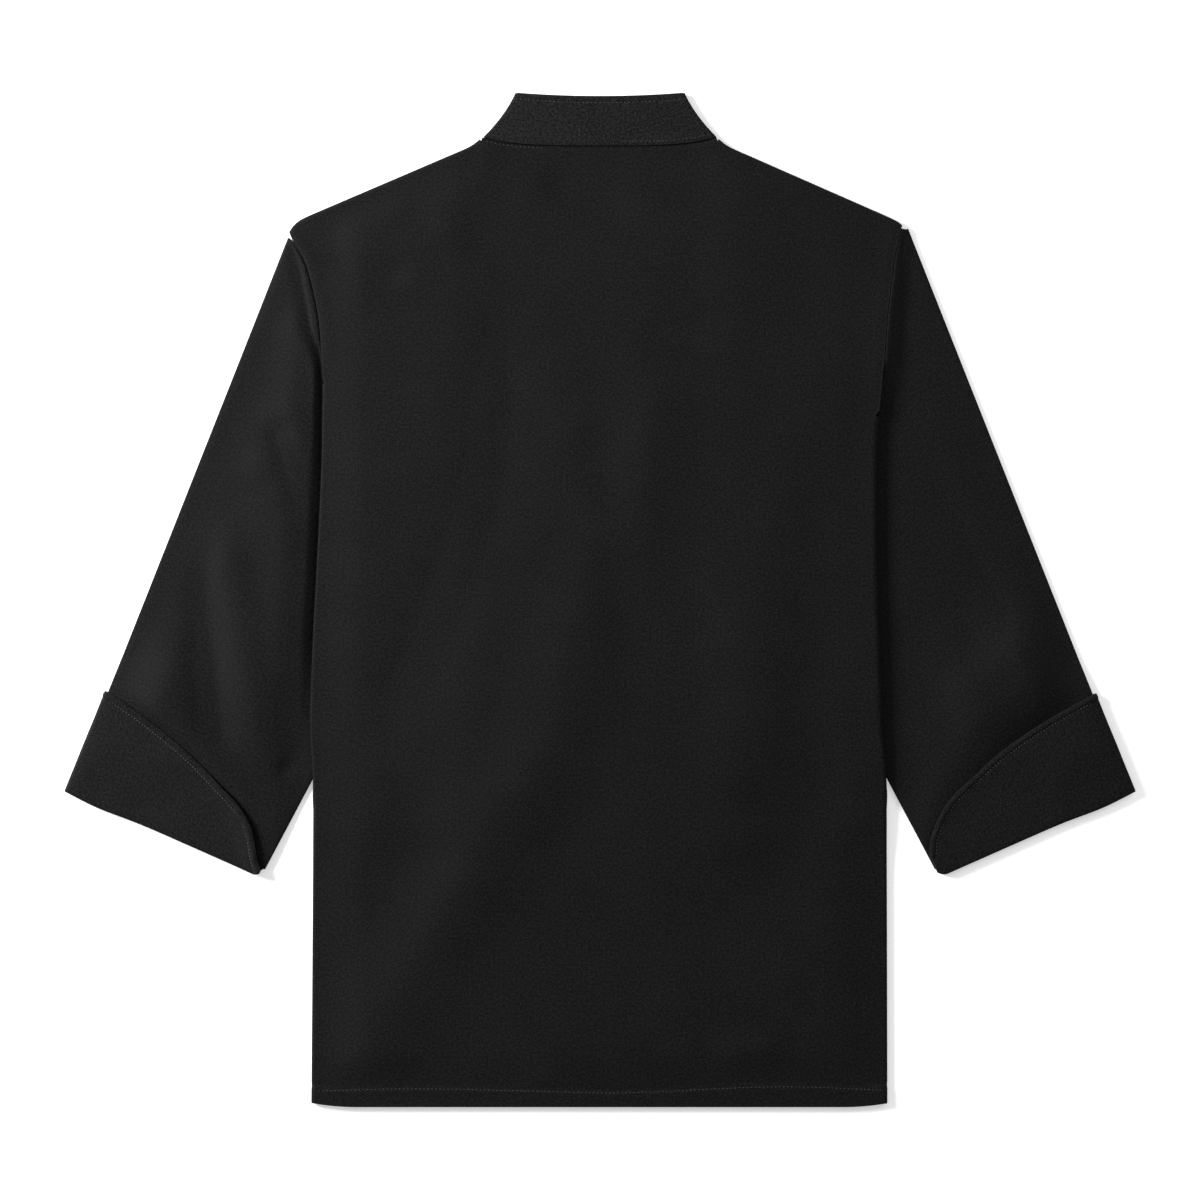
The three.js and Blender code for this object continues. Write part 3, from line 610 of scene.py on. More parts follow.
    def sleeve_top(self, side: Side, u: Array, y: Array) -> Array:
        """Height of the sleeve's upper layer, which comes down from the armhole seam.

        Args:
            side: which side.
            u: places outwards.
            y: places up.

        Returns:
            The height of its middle.
        """
        edge = side.edge(y)
        seam = self.seam_start.at(y - side.junction_y)
        beside = self.back_height(side.sign * edge, np.minimum(y, side.tip[1])) - self.layer(1)
        rise = beside * seam * (1 - ease((u - edge) / side.fall))
        on_cuff = (self.cuff_wall + self.cuff_gap) * self.cuff_share(side, u, y)
        return (self.layer(1) + rise + on_cuff + self.sleeve_fill(side, u, y)
                + self.seam_relief(side, u, y, seam))


# ---- Cloth walls ----


def linked(name: str, data: bpy.types.ID) -> bpy.types.Object:
    """A new object in the scene, at the origin.

    Args:
        name: its name.
        data: its mesh, lamp or camera.

    Returns:
        The object.
    """
    made = bpy.data.objects.new(name, data)
    bpy.context.scene.collection.objects.link(made)
    return made


def smoothed(mesh: bpy.types.Mesh) -> bpy.types.Mesh:
    """The mesh, with all its faces shaded smooth."""
    mesh.polygons.foreach_set("use_smooth", np.ones(len(mesh.polygons), dtype=bool))
    return mesh


def rounded(centre: Array, outward: Array, radius: Array, count: int) -> Array:
    """Points round a folded edge, from just under its upper layer to just over its lower one.

    Args:
        centre: middle of the fold at each place, as rows of x, y and z.
        outward: direction out of the fold.
        radius: its radius at each place.
        count: steps round the fold.

    Returns:
        The points, with the steps as the second axis.
    """
    angle = math.pi * (0.5 - np.arange(1, count) / count)
    out = np.cos(angle)[None, :, None] * outward[:, None, :] * radius[:, None, None]
    up = np.sin(angle)[None, :, None] * np.array([0.0, 0.0, 1.0]) * radius[:, None, None]
    return centre[:, None, :] + out + up


def arc_uv(grid: Array, row: int, column: int) -> Array:
    """Lay a grid out flat by the lengths of its rows and columns.

    Args:
        grid: points, rows by columns.
        row: the row from which lengths along the columns count.
        column: the column from which lengths along the rows count.

    Returns:
        The flat places, in millimetres.
    """
    def lengths(axis: int, start: int) -> Array:
        """Lengths along an axis, counted from one line of the grid."""
        part = np.nan_to_num(np.linalg.norm(np.diff(grid, axis=axis), axis=2))
        total = np.cumsum(part, axis=axis)
        pad = [(1, 0), (0, 0)] if axis == 0 else [(0, 0), (1, 0)]
        total = np.pad(total, pad)
        return total - np.take(total, [start], axis=axis)

    return np.stack([lengths(1, column), lengths(0, row)], axis=2)


@dataclass
class ClothWall:
    """A closed wall of even thickness round a grid of points on its middle."""

    name: str
    grid: Array  # rows by columns by x, y and z, with NaN where the grid is open
    thickness: float
    uv: Array  # flat place of each grid point, with one column more on a closed grid
    closed: bool = False
    rim: float = 0.7  # how far the edges bulge, in half thicknesses

    def quads(self) -> tuple[Array, Array]:
        """The faces of the middle.

        Returns:
            The corner numbers of each face, and the same in the grid of flat places.
        """
        rows, columns = self.grid.shape[:2]
        width = columns if self.closed else columns - 1
        r, c = np.meshgrid(np.arange(rows - 1), np.arange(width), indexing="ij")
        following = (c + 1) % columns
        corners = np.stack([r * columns + c, r * columns + following,
                            (r + 1) * columns + following, (r + 1) * columns + c], axis=2)
        flat_width = self.uv.shape[1]
        flat = np.stack([r * flat_width + c, r * flat_width + c + 1,
                         (r + 1) * flat_width + c + 1, (r + 1) * flat_width + c], axis=2)
        there = ~np.isnan(self.grid[..., 0]).reshape(-1)
        keep = there[corners].all(axis=2)
        return corners[keep], flat[keep]

    def build(self) -> bpy.types.Object:
        """Make the wall's mesh object, with its flat layout and a painted highlight along its edges.

        Returns:
            The new object.
        """
        points = np.nan_to_num(self.grid.reshape(-1, 3))
        quads, flat = self.quads()
        used = np.unique(quads)
        renumber = np.full(len(points), -1)
        renumber[used] = np.arange(len(used))
        points, quads = points[used], renumber[quads]
        count = len(points)
        diagonal = np.cross(points[quads[:, 2]] - points[quads[:, 0]],
                            points[quads[:, 3]] - points[quads[:, 1]])
        normals = np.zeros_like(points)
        for corner in range(4):
            np.add.at(normals, quads[:, corner], diagonal)
        normals /= np.linalg.norm(normals, axis=1, keepdims=True)
        starts = quads.reshape(-1)
        ends = np.roll(quads, -1, axis=1).reshape(-1)
        single = ~np.isin(starts * count + ends, ends * count + starts)
        a, b = starts[single], ends[single]
        outward = np.zeros_like(points)
        along = points[b] - points[a]
        along /= np.linalg.norm(along, axis=1, keepdims=True)
        for end in (a, b):
            np.add.at(outward, end, np.cross(along, normals[end]))
        rim = np.unique(np.concatenate([a, b]))
        middle = np.full(count, -1)
        middle[rim] = 2 * count + np.arange(len(rim))
        push = outward[rim]
        push /= np.maximum(np.linalg.norm(push, axis=1, keepdims=True), 1e-9)
        half = self.thickness / 2
        vertices = np.concatenate([points + normals * half, points - normals * half,
                                   points[rim] + push * half * self.rim])
        faces = np.concatenate([
            quads, quads[:, ::-1] + count,
            np.stack([b, a, middle[a], middle[b]], axis=1),
            np.stack([middle[b], middle[a], a + count, b + count], axis=1),
        ])
        flat_uv = self.uv.reshape(-1, 2)
        skin = np.concatenate([flat_uv[flat], flat_uv[flat[:, ::-1]]])
        place = np.zeros((count, 2))
        place[quads.reshape(-1)] = flat_uv[flat.reshape(-1)]
        edge = np.stack([place[b], place[a], place[a], place[b]], axis=1)
        corner_uv = np.concatenate([skin, edge, edge])
        tall = vertices[faces]
        volume = np.einsum("ij,ij->i", tall[:, 0], np.cross(tall[:, 1], tall[:, 2])).sum()
        volume += np.einsum("ij,ij->i", tall[:, 0], np.cross(tall[:, 2], tall[:, 3])).sum()
        if volume < 0:
            faces, corner_uv = faces[:, ::-1], corner_uv[:, ::-1]
        # every edge vertex gets 1: the twill paints a lighter highlight colour there
        painted_highlight = np.zeros(len(vertices))
        painted_highlight[np.concatenate([rim, rim + count, middle[rim]])] = 1.0
        seams = np.stack([np.concatenate([a, a + count]), np.concatenate([b, b + count])], axis=1)
        return self._mesh(vertices, faces, corner_uv, painted_highlight, seams)

    def _mesh(self, vertices: Array, faces: Array, uv: Array, painted_highlight: Array,
              sharp: Array) -> bpy.types.Object:
        """Turn arrays into an object.

        Args:
            vertices: places in millimetres.
            faces: four corners each.
            uv: flat place of each face's corners.
            painted_highlight: how worn each vertex is.
            sharp: pairs of vertices whose edge is sharp.

        Returns:
            The new object.
        """
        mesh = bpy.data.meshes.new(self.name)
        mesh.vertices.add(len(vertices))
        mesh.vertices.foreach_set("co", (vertices * MM).reshape(-1))
        mesh.loops.add(faces.size)
        mesh.loops.foreach_set("vertex_index", faces.reshape(-1).astype(np.int32))
        mesh.polygons.add(len(faces))
        mesh.polygons.foreach_set("loop_start", np.arange(0, faces.size, 4, dtype=np.int32))
        mesh.update(calc_edges=True)
        smoothed(mesh)
        layer = mesh.uv_layers.new(name=WEAVE_UV)
        layer.data.foreach_set("uv", (uv * MM).reshape(-1))
        mesh.attributes.new(PAINTED_HIGHLIGHT, "FLOAT", "POINT").data.foreach_set("value", painted_highlight)
        edges = np.zeros(len(mesh.edges) * 2, dtype=np.int32)
        mesh.edges.foreach_get("vertices", edges)
        ordered = np.sort(edges.reshape(-1, 2), axis=1).astype(np.int64)
        wanted = np.sort(sharp, axis=1)
        total = len(vertices)
        hard = np.isin(ordered[:, 0] * total + ordered[:, 1], wanted[:, 0] * total + wanted[:, 1])
        mesh.attributes.new("sharp_edge", "BOOLEAN", "EDGE").data.foreach_set("value", hard)
        mesh.validate()
        return linked(self.name, mesh)


# ---- Finishes ----


class Slot(Enum):
    """The record's material slots."""

    BODY = "body_twill"
    COLLAR = "collar_twill"
    CUFF = "cuff_twill"
    BUTTON = "button"


@dataclass(frozen=True)
class Links:
    """Adds nodes to a material and joins them."""

    tree: bpy.types.NodeTree

    def node(self, kind: str, settings: dict | None = None, **inputs: object) -> bpy.types.Node:
        """Add a node.

        Args:
            kind: its type.
            settings: its properties.
            inputs: values or sockets for its inputs, by name with _ for a space.

        Returns:
            The node.
        """
        made = self.tree.nodes.new(kind)
        for key, value in (settings or {}).items():
            setattr(made, key, value)
        for key, value in inputs.items():
            self.feed(made.inputs[key.replace("_", " ")], value)
        return made

    def feed(self, socket: bpy.types.NodeSocket, value: object) -> None:
        """Set an input, or link it when value is a socket."""
        if isinstance(value, bpy.types.NodeSocket):
            self.tree.links.new(value, socket)
        else:
            socket.default_value = value

    def sum(self, operation: str, first: object, second: object) -> bpy.types.NodeSocket:
        """The result of one operation of arithmetic.

        Args:
            operation: its name.
            first: the first value or socket.
            second: the second value or socket.

        Returns:
            The socket of the result.
        """
        node = self.node("ShaderNodeMath", {"operation": operation})
        self.feed(node.inputs[0], first)
        self.feed(node.inputs[1], second)
        return node.outputs[0]

    def noise(self, place: object, scale: float, detail: float = 2.0) -> bpy.types.NodeSocket:
        """Noise of a scale in waves for each metre."""
        node = self.node("ShaderNodeTexNoise", Vector=place, Scale=scale, Detail=detail)
        return node.outputs["Fac"]

    def ramp(self, fac: object, low: float, high: float, start: float,
             end: float) -> bpy.types.NodeSocket:
        """Map fac from low..high on to start..end, held at both ends."""
        node = self.node("ShaderNodeMapRange", {"clamp": True}, Value=fac, From_Min=low,
                         From_Max=high, To_Min=start, To_Max=end)
        return node.outputs["Result"]

    def blend(self, share: object, first: object, second: object) -> bpy.types.NodeSocket:
        """A mix of two colours, each a socket or its red, green and blue.

        Args:
            share: the share of the second colour.
            first: the first value or socket.
            second: the second value or socket.

        Returns:
            The mixed colour.
        """
        node = self.node("ShaderNodeMix", {"data_type": "RGBA"}, Factor=share)
        for index, colour in ((6, first), (7, second)):
            self.feed(node.inputs[index], (*colour, 1.0) if isinstance(colour, tuple) else colour)
        return node.outputs[2]

    def object_place(self) -> bpy.types.NodeSocket:
        """Object coordinates."""
        return self.node("ShaderNodeTexCoord").outputs["Object"]

Range = tuple[float, float, float, float]  # from low and high on to start and end
Colour = tuple[float, float, float]


@dataclass(frozen=True)
class Finish:
    """A material made of nodes."""

    name: str

    def material(self) -> bpy.types.Material:
        """Make the material.

        Returns:
            The material, with its shader fed.
        """
        made = bpy.data.materials.new(self.name)
        made.use_nodes = True
        self.feed(Links(made.node_tree), made.node_tree.nodes["Principled BSDF"].inputs)
        return made

    def feed(self, links: Links, shader: bpy.types.bpy_prop_collection) -> None:
        """Feed the shader's inputs."""
        raise NotImplementedError


@dataclass(frozen=True)
class TwillFinish(Finish):
    """Black poly-cotton twill: steep diagonal wales, grain, soft sheen, and a painted highlight along its
    edges.
    """

    colour: Colour = (0.0019, 0.0019, 0.0019)
    light: Colour = (0.0088, 0.0088, 0.0088)
    # lighter colour painted along the edges as a highlight
    highlight_colour: Colour = (0.0115, 0.0115, 0.0115)
    wale_pitch: float = 0.00095
    wale_lean: float = 1.08
    yarn_share: float = 0.55  # of the grain, with the rest from slubs
    grain_tone: Range = (0.39, 0.61, -0.42, 1.15)
    mottle_tone: Range = (0.3, 0.7, -0.08, 0.10)
    broad_tone: Range = (0.3, 0.7, -0.06, 0.08)
    wale_tone: Range = (0.0, 1.0, -0.08, 0.10)
    # breaks the painted edge highlight into patches, by the slubs
    highlight_patches: Range = (0.35, 0.7, 0.25, 0.8)
    roughness: Range = (0.35, 0.65, 0.62, 0.80)
    specular: float = 0.085
    sheen: float = 0.010

    def feed(self, links: Links, shader: bpy.types.bpy_prop_collection) -> None:
        """Feed the shader from the piece's own flat layout, and paint a lighter highlight along its
        edges.

        Args:
            links: adds the nodes.
            shader: the inputs of the shader.
        """
        place = links.node("ShaderNodeUVMap", {"uv_map": WEAVE_UV}).outputs["UV"]
        turned = links.node("ShaderNodeMapping", Vector=place,
                            Rotation=(0.0, 0.0, self.wale_lean)).outputs["Vector"]
        wave = links.node(
            "ShaderNodeTexWave", {"wave_type": "BANDS", "bands_direction": "X"}, Vector=turned,
            Scale=2 * math.pi / self.wale_pitch / 20, Distortion=1.6, Detail=2.0,
            Detail_Scale=0.35,
        ).outputs["Fac"]
        yarn = links.noise(place, 1000.0, 3.0)
        slub = links.noise(place, 520.0, 3.0)
        mottle = links.noise(place, 34.0, 4.0)
        broad = links.noise(place, 7.0, 2.0)
        grain = links.sum("ADD", links.sum("MULTIPLY", yarn, self.yarn_share),
                          links.sum("MULTIPLY", slub, 1 - self.yarn_share))
        tone = links.ramp(grain, *self.grain_tone)
        for source, change in ((mottle, self.mottle_tone), (broad, self.broad_tone),
                               (wave, self.wale_tone)):
            tone = links.sum("ADD", tone, links.ramp(source, *change))
        cloth = links.blend(links.ramp(tone, 0.0, 1.0, 0.0, 1.0), self.colour, self.light)
        # painted highlight: a lighter colour along every edge, in patches
        highlit_edges = links.node("ShaderNodeAttribute", {"attribute_name": PAINTED_HIGHLIGHT}).outputs["Fac"]
        patchy_highlight = links.sum("MULTIPLY", highlit_edges, links.ramp(slub, *self.highlight_patches))
        links.feed(shader["Base Color"], links.blend(patchy_highlight, cloth, self.highlight_colour))
        links.feed(shader["Roughness"], links.ramp(grain, *self.roughness))
        shader["Specular IOR Level"].default_value = self.specular
        shader["Sheen Weight"].default_value = self.sheen
        shader["Sheen Roughness"].default_value = 0.4
        shader["Sheen Tint"].default_value = (0.8, 0.8, 0.8, 1.0)
        weave = links.sum("ADD", links.sum("MULTIPLY", wave, 0.5), links.sum("MULTIPLY", yarn, 0.8))
        fine = links.node("ShaderNodeBump", Height=weave, Strength=0.35, Distance=0.00022)
        soft = links.node("ShaderNodeBump", Height=mottle, Strength=0.25, Distance=0.0006,
                          Normal=fine.outputs["Normal"])
        links.feed(shader["Normal"], soft.outputs["Normal"])


@dataclass(frozen=True)
class ThreadFinish(Finish):
    """Spun polyester thread, a little lighter than the cloth."""

    colour: Colour = (0.016, 0.016, 0.0162)
    light: Colour = (0.075, 0.075, 0.076)
    roughness: Range = (0.3, 0.7, 0.5, 0.7)

    def feed(self, links: Links, shader: bpy.types.bpy_prop_collection) -> None:
        """Feed the shader from Object coordinates.

        Args:
            links: adds the nodes.
            shader: the inputs of the shader.
        """
        place = links.object_place()
        strand = links.noise(place, 2600.0)
        patch = links.noise(place, 55.0)
        tone = links.sum("ADD", links.ramp(strand, 0.3, 0.7, 0.0, 0.5),
                         links.ramp(patch, 0.35, 0.65, 0.0, 0.5))
        links.feed(shader["Base Color"], links.blend(tone, self.colour, self.light))
        links.feed(shader["Roughness"], links.ramp(strand, *self.roughness))
        shader["Sheen Weight"].default_value = 0.1
        bump = links.node("ShaderNodeBump", Height=strand, Strength=0.5, Distance=0.0001)
        links.feed(shader["Normal"], bump.outputs["Normal"])


@dataclass(frozen=True)
class ButtonFinish(Finish):
    """Black moulded plastic, with a satin face and faint scuffs."""

    colour: Colour = (0.010, 0.010, 0.011)
    light: Colour = (0.022, 0.022, 0.024)
    roughness: Range = (0.4, 0.7, 0.28, 0.46)

    def feed(self, links: Links, shader: bpy.types.bpy_prop_collection) -> None:
        """Feed the shader from Object coordinates.

        Args:
            links: adds the nodes.
            shader: the inputs of the shader.
        """
        place = links.object_place()
        cloud = links.noise(place, 160.0)
        scuff = links.noise(place, 1400.0, 4.0)
        links.feed(shader["Base Color"], links.blend(cloud, self.colour, self.light))
        links.feed(shader["Roughness"], links.ramp(scuff, *self.roughness))
        bump = links.node("ShaderNodeBump", Height=scuff, Strength=0.15, Distance=0.0001)
        links.feed(shader["Normal"], bump.outputs["Normal"])


@dataclass(frozen=True)
class FloorFinish(Finish):
    """A pale painted surface with the faintest mottling."""

    name: str = "pale_floor"
    colour: Colour = (0.93, 0.93, 0.93)
    light: Colour = (0.95, 0.95, 0.95)
    glow: float = 0.35  # light from within, as on a light table, that softens the shadows

    def feed(self, links: Links, shader: bpy.types.bpy_prop_collection) -> None:
        """Feed the shader from Object coordinates.

        Args:
            links: adds the nodes.
            shader: the inputs of the shader.
        """
        mottle = links.noise(links.object_place(), 6.0)
        links.feed(shader["Base Color"], links.blend(mottle, self.colour, self.light))
        shader["Roughness"].default_value = 0.9
        shader["Specular IOR Level"].default_value = 0.1
        shader["Emission Color"].default_value = (1.0, 1.0, 1.0, 1.0)
        shader["Emission Strength"].default_value = self.glow


# ---- Stitches ----


@dataclass
class Stitching:
    """A run of even stitches along lines on the cloth, made by Geometry Nodes."""

    name: str
    lines: list[Array]  # each a line of points, in millimetres
    pitch: float = 3.2
    length: float = 1.7
    radius: float = 0.20
    seed: int = 7

    def tree(self) -> bpy.types.NodeTree:
        """Make the node tree that lays one small capsule for each stitch.

        Returns:
            The tree, with Pitch, Length, Radius, Seed and Thread as named inputs.
        """
        tree = bpy.data.node_groups.new(f"{self.name}_tree", "GeometryNodeTree")
        face = tree.interface
        face.new_socket("Geometry", in_out="INPUT", socket_type="NodeSocketGeometry")
        for label in ("Pitch", "Length", "Radius"):
            face.new_socket(label, in_out="INPUT", socket_type="NodeSocketFloat")
        face.new_socket("Seed", in_out="INPUT", socket_type="NodeSocketInt")
        face.new_socket("Thread", in_out="INPUT", socket_type="NodeSocketMaterial")
        face.new_socket("Geometry", in_out="OUTPUT", socket_type="NodeSocketGeometry")
        links = Links(tree)
        given = links.node("NodeGroupInput").outputs
        curve = links.node("GeometryNodeMeshToCurve", Mesh=given["Geometry"])
        points = links.node("GeometryNodeResampleCurve", {"mode": "LENGTH"},
                            Curve=curve.outputs["Curve"], Length=given["Pitch"])
        ball = links.node("GeometryNodeMeshUVSphere", Segments=6, Rings=5, Radius=1.0)
        size = links.node("ShaderNodeCombineXYZ", X=links.sum("MULTIPLY", given["Length"], 0.5),
                          Y=given["Radius"], Z=given["Radius"])
        capsule = links.node("GeometryNodeTransform", Geometry=ball.outputs["Mesh"],
                             Scale=size.outputs["Vector"])
        turn = links.node("FunctionNodeAlignRotationToVector", {"axis": "X"},
                          Vector=links.node("GeometryNodeInputTangent").outputs["Tangent"])
        sway = links.node("FunctionNodeRandomValue", {"data_type": "FLOAT_VECTOR"},
                          Seed=given["Seed"])
        sway.inputs[0].default_value = (-0.05, -0.03, -0.10)
        sway.inputs[1].default_value = (0.05, 0.03, 0.10)
        jitter = links.node("FunctionNodeEulerToRotation", Euler=sway.outputs[0])
        rotation = links.node("FunctionNodeRotateRotation", {"rotation_space": "LOCAL"},
                              Rotation=turn.outputs[0], Rotate_By=jitter.outputs[0])
        swell = links.node("FunctionNodeRandomValue", {"data_type": "FLOAT_VECTOR"},
                           Seed=links.sum("ADD", given["Seed"], 1.0))
        swell.inputs[0].default_value = (0.72, 0.85, 0.85)
        swell.inputs[1].default_value = (1.08, 1.1, 1.1)
        laid = links.node("GeometryNodeInstanceOnPoints", Points=points.outputs["Curve"],
                          Instance=capsule.outputs["Geometry"], Rotation=rotation.outputs[0],
                          Scale=swell.outputs[0])
        real = links.node("GeometryNodeRealizeInstances", Geometry=laid.outputs["Instances"])
        dressed = links.node("GeometryNodeSetMaterial", Geometry=real.outputs["Geometry"],
                             Material=given["Thread"])
        links.node("NodeGroupOutput", Geometry=dressed.outputs["Geometry"])
        return tree

    def build(self, thread: bpy.types.Material) -> bpy.types.Object:
        """Lay the stitches and turn them into a plain mesh.

        Args:
            thread: their material.

        Returns:
            The new object.
        """
        vertices, edges = [], []
        for line in self.lines:
            first = len(vertices)
            vertices += [tuple(point) for point in line * MM]
            edges += [(first + i, first + i + 1) for i in range(len(line) - 1)]
        mesh = bpy.data.meshes.new(f"{self.name}_lines")
        mesh.from_pydata(vertices, edges, [])
        guide = linked(mesh.name, mesh)
        tree = self.tree()
        modifier = guide.modifiers.new("stitches", "NODES")
        modifier.node_group = tree
        sockets = {item.name: item.identifier for item in tree.interface.items_tree
                   if item.in_out == "INPUT"}
        modifier[sockets["Pitch"]] = self.pitch * MM
        modifier[sockets["Length"]] = self.length * MM
        modifier[sockets["Radius"]] = self.radius * MM
        modifier[sockets["Seed"]] = self.seed
        modifier[sockets["Thread"]] = thread
        shown = guide.evaluated_get(bpy.context.evaluated_depsgraph_get())
        plain = bpy.data.meshes.new_from_object(shown)
        plain.name = self.name
        bpy.data.objects.remove(guide)
        plain.materials.clear()
        plain.materials.append(thread)
        return linked(self.name, smoothed(plain))


# ---- Pieces of the jacket ----


def placed(side: Side, u: Array, y: Array, z: Array) -> Array:
    """Points from a side's u, y and z."""
    u, y, z = np.broadcast_arrays(u, y, z)
    return np.stack([side.sign * u, y, z], axis=-1)


@dataclass
class Panel:
    """A piece that is made and dressed as a sheet."""

    cut: Cut
    finish: bpy.types.Material

    def declare(self, piece: bpy.types.Object, node: str, slot: Slot, flat: tuple[float, float],
                area: float, rests_on: tuple[str, ...], with_pieces: tuple = ()) -> None:
        """Dress a cloth piece: give it its material, attach it and its stitches to the body, and hide the
        CAD part it stands for.

        Args:
            piece: the cloth.
            node: the CAD node it stands for.
            slot: its material slot; not used.
            flat: width and length of its cut, in metres; not used.
            area: area of its cut, in square metres; not used.
            rests_on: what lies under it; not used.
            with_pieces: the stitches on it.
        """
        piece.data.materials.append(self.finish)
        for each in (piece, *with_pieces):
            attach(each, BODY)
        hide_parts(node)
        LOG.info("%s: %d faces", piece.name, len(piece.data.polygons))


@dataclass
class Back(Panel):
    """The back: upper panel, sides folded under, shoulders turned, hem and neck seam."""

    pitch: float = 4.6
    fold_steps: int = 6
    flap_columns: int = 12
    hem_rows: tuple[float, ...] = (0, 1.2, 3, 5, 7, 8.5, 9.7, 10.6, 11.4, 12.2, 13, 14, 15.5, 18, 21)
    flap_rows: tuple[float, float] = (-168.0, -144.0)  # rows led to the foot and top of the climb
    band: float = 0.75  # extra thickness of the hem
    band_end: Step = Step(-0.2, 2.2)  # past the line of stitches
    hem_groove: Bump = Bump(0.0, 1.1, -0.30)
    hem_pucker: Pucker = Pucker(0.16, 0.55, 1.4, 0.13)
    pucker_width: float = 5.0
    neck_end: tuple[float, float] = (2.0, 5.0)  # reach past the collar, and length
    neck_ridge: Bump = Bump(5.0, 4.0, 0.5)
    neck_dip: Bump = Bump(0.0, 1.6, 2.0)
    seam_start: Step = Step(4, 30)  # above the junction
    seam_end: tuple[float, float] = (2.0, 6.0)  # reach past the tip, and length
    seam_ridge: Bump = Bump(6.0, 4.0, 0.25)
    dip_width: float = 1.6
    settle: float = 60.0  # height over which the rows lose the hem's curve
    hem_run: tuple[float, float, int] = (-222, 222, 220)  # ends and points of the hem's stitches
    neck_run: tuple[float, float, int] = (89, 46, 50)
    neck_inset: float = 2.4
    stitch_lift: tuple[float, float] = (0.56, 0.6)  # of the hem's and the neck's
    unfold: float = 5.0  # length over which the side's fold opens above the junction
    near_edge: Step = Step(0.9, 0.1)  # in shares of the half width
    hem_stitches: Outline = Outline((-228, -153, -56, 16, 140, 224),
                                    (-388.2, -386.2, -387.9, -389.5, -384.6, -387.2))

    def edge_rows(self, side: Side) -> Array:
        """Heights of the rows at one side's edge, from the hem to the shoulder tip."""
        hem = self.cut.hem_y + np.array(self.hem_rows)
        return np.concatenate([
            hem, steps(hem[-1], self.cut.underarm[1], self.pitch),
            np.linspace(self.cut.underarm[1], side.junction_y, 27)[1:],
            np.linspace(side.junction_y, side.sleeve_head[1], 29)[1:],
            np.linspace(side.sleeve_head[1], side.tip[1], 5)[1:],
        ])

    def tops(self, side: Side) -> tuple[Array, Array]:
        """Columns by their place on the top edge, and whether each is on the shoulder.

        Args:
            side: which side.

        Returns:
            The places, and a mark for each column on the shoulder.
        """
        tip = side.tip[0]
        shoulder = np.concatenate([np.linspace(self.cut.neck_half + 1.3, tip - 16, 30),
                                   tip - np.array([12.5, 9.5, 7, 5, 3.2, 1.6, 0])])
        neck = np.linspace(0, self.cut.neck_half, 22)
        return np.concatenate([neck, shoulder]), np.arange(len(neck) + len(shoulder)) >= len(neck)

    def finish_height(self, side: Side, u: Array, y: Array) -> Array:
        """Relief of the hem band, the neck seam and the armhole seam.

        Args:
            side: which side.
            u: places outwards.
            y: places up.

        Returns:
            The height it adds.
        """
        x = side.sign * u
        up = y - self.cut.hem_y - self.cut.hem_rise(u)
        past = up - (self.hem_stitches.at(x) - self.cut.hem_y)
        hem = self.band * (1 - self.band_end.at(past)) + self.hem_groove.at(past)
        pucker = self.hem_pucker.at(x, u) * bell(past, self.pucker_width)
        down = self.cut.back_top(side, u) - y
        reach, length = self.neck_end
        on_neck = ease((self.cut.neck_half + reach - u) / length)
        neck = (self.neck_ridge.at(down) - self.neck_dip.at(down)) * on_neck
        inwards = side.edge(y) - u
        reach, length = self.seam_end
        seam = self.seam_start.at(y - side.junction_y) * ease((side.tip[1] + reach - y) / length)
        armhole = self.seam_ridge.at(inwards) - side.body_dip * bell(inwards, self.dip_width)
        return hem + pucker + neck + armhole * seam

    def height(self, side: Side, u: Array, y: Array) -> Array:
        """Height of the upper panel's middle with all its relief."""
        return self.cut.back_height(side.sign * u, y) + self.finish_height(side, u, y)

    def half(self, side: Side) -> tuple[Array, Array, Array]:
        """One half of the upper panel, with its folded side and its turned shoulder.

        Args:
            side: which side.

        Returns:
            The grids of the panel, of the folded side, and of the turned shoulder.
        """
        cut = self.cut
        own = self.edge_rows(side)[:, None]
        other = self.edge_rows(RIGHT if side is LEFT else LEFT)[:, None]
        tops, on_shoulder = self.tops(side)
        share = (tops / side.tip[0])[None, :]
        level = mix((own + other) / 2, own, share)
        top_edge = cut.back_top(side, tops)
        steep = math.hypot(1, side.shoulder_slope)
        radius = (self.height(side, tops, top_edge - 3) - cut.layer(0)) / 2
        inset = np.where(on_shoulder, (radius + cut.cloth / 2) * steep, cut.seam_gap / 2)
        base_y = cut.underarm[1]
        stretch = (top_edge - inset - base_y) / (level[-1] - base_y)
        y = np.minimum(level, base_y) + np.maximum(0, level - base_y) * stretch
        edge = side.edge(np.where(own > base_y, y[:, -1:], own))
        side_radius = (self.height(side, edge - 2, own) - cut.flap_height(edge, own)) / 2
        unfolded = ease((own - side.junction_y) / self.unfold)
        edge_in = mix(side_radius + cut.cloth / 2, cut.seam_gap / 2, unfolded)
        u = share * edge - edge_in * self.near_edge.at(share) * share
        y = y + cut.hem_rise(u) * (1 - ease((own - cut.hem_y) / self.settle))
        panel = placed(side, u, y, self.height(side, u, y))
        return panel, self.folded_side(side, panel[:, -1]), self.turned_shoulder(
            side, panel[-1], on_shoulder)

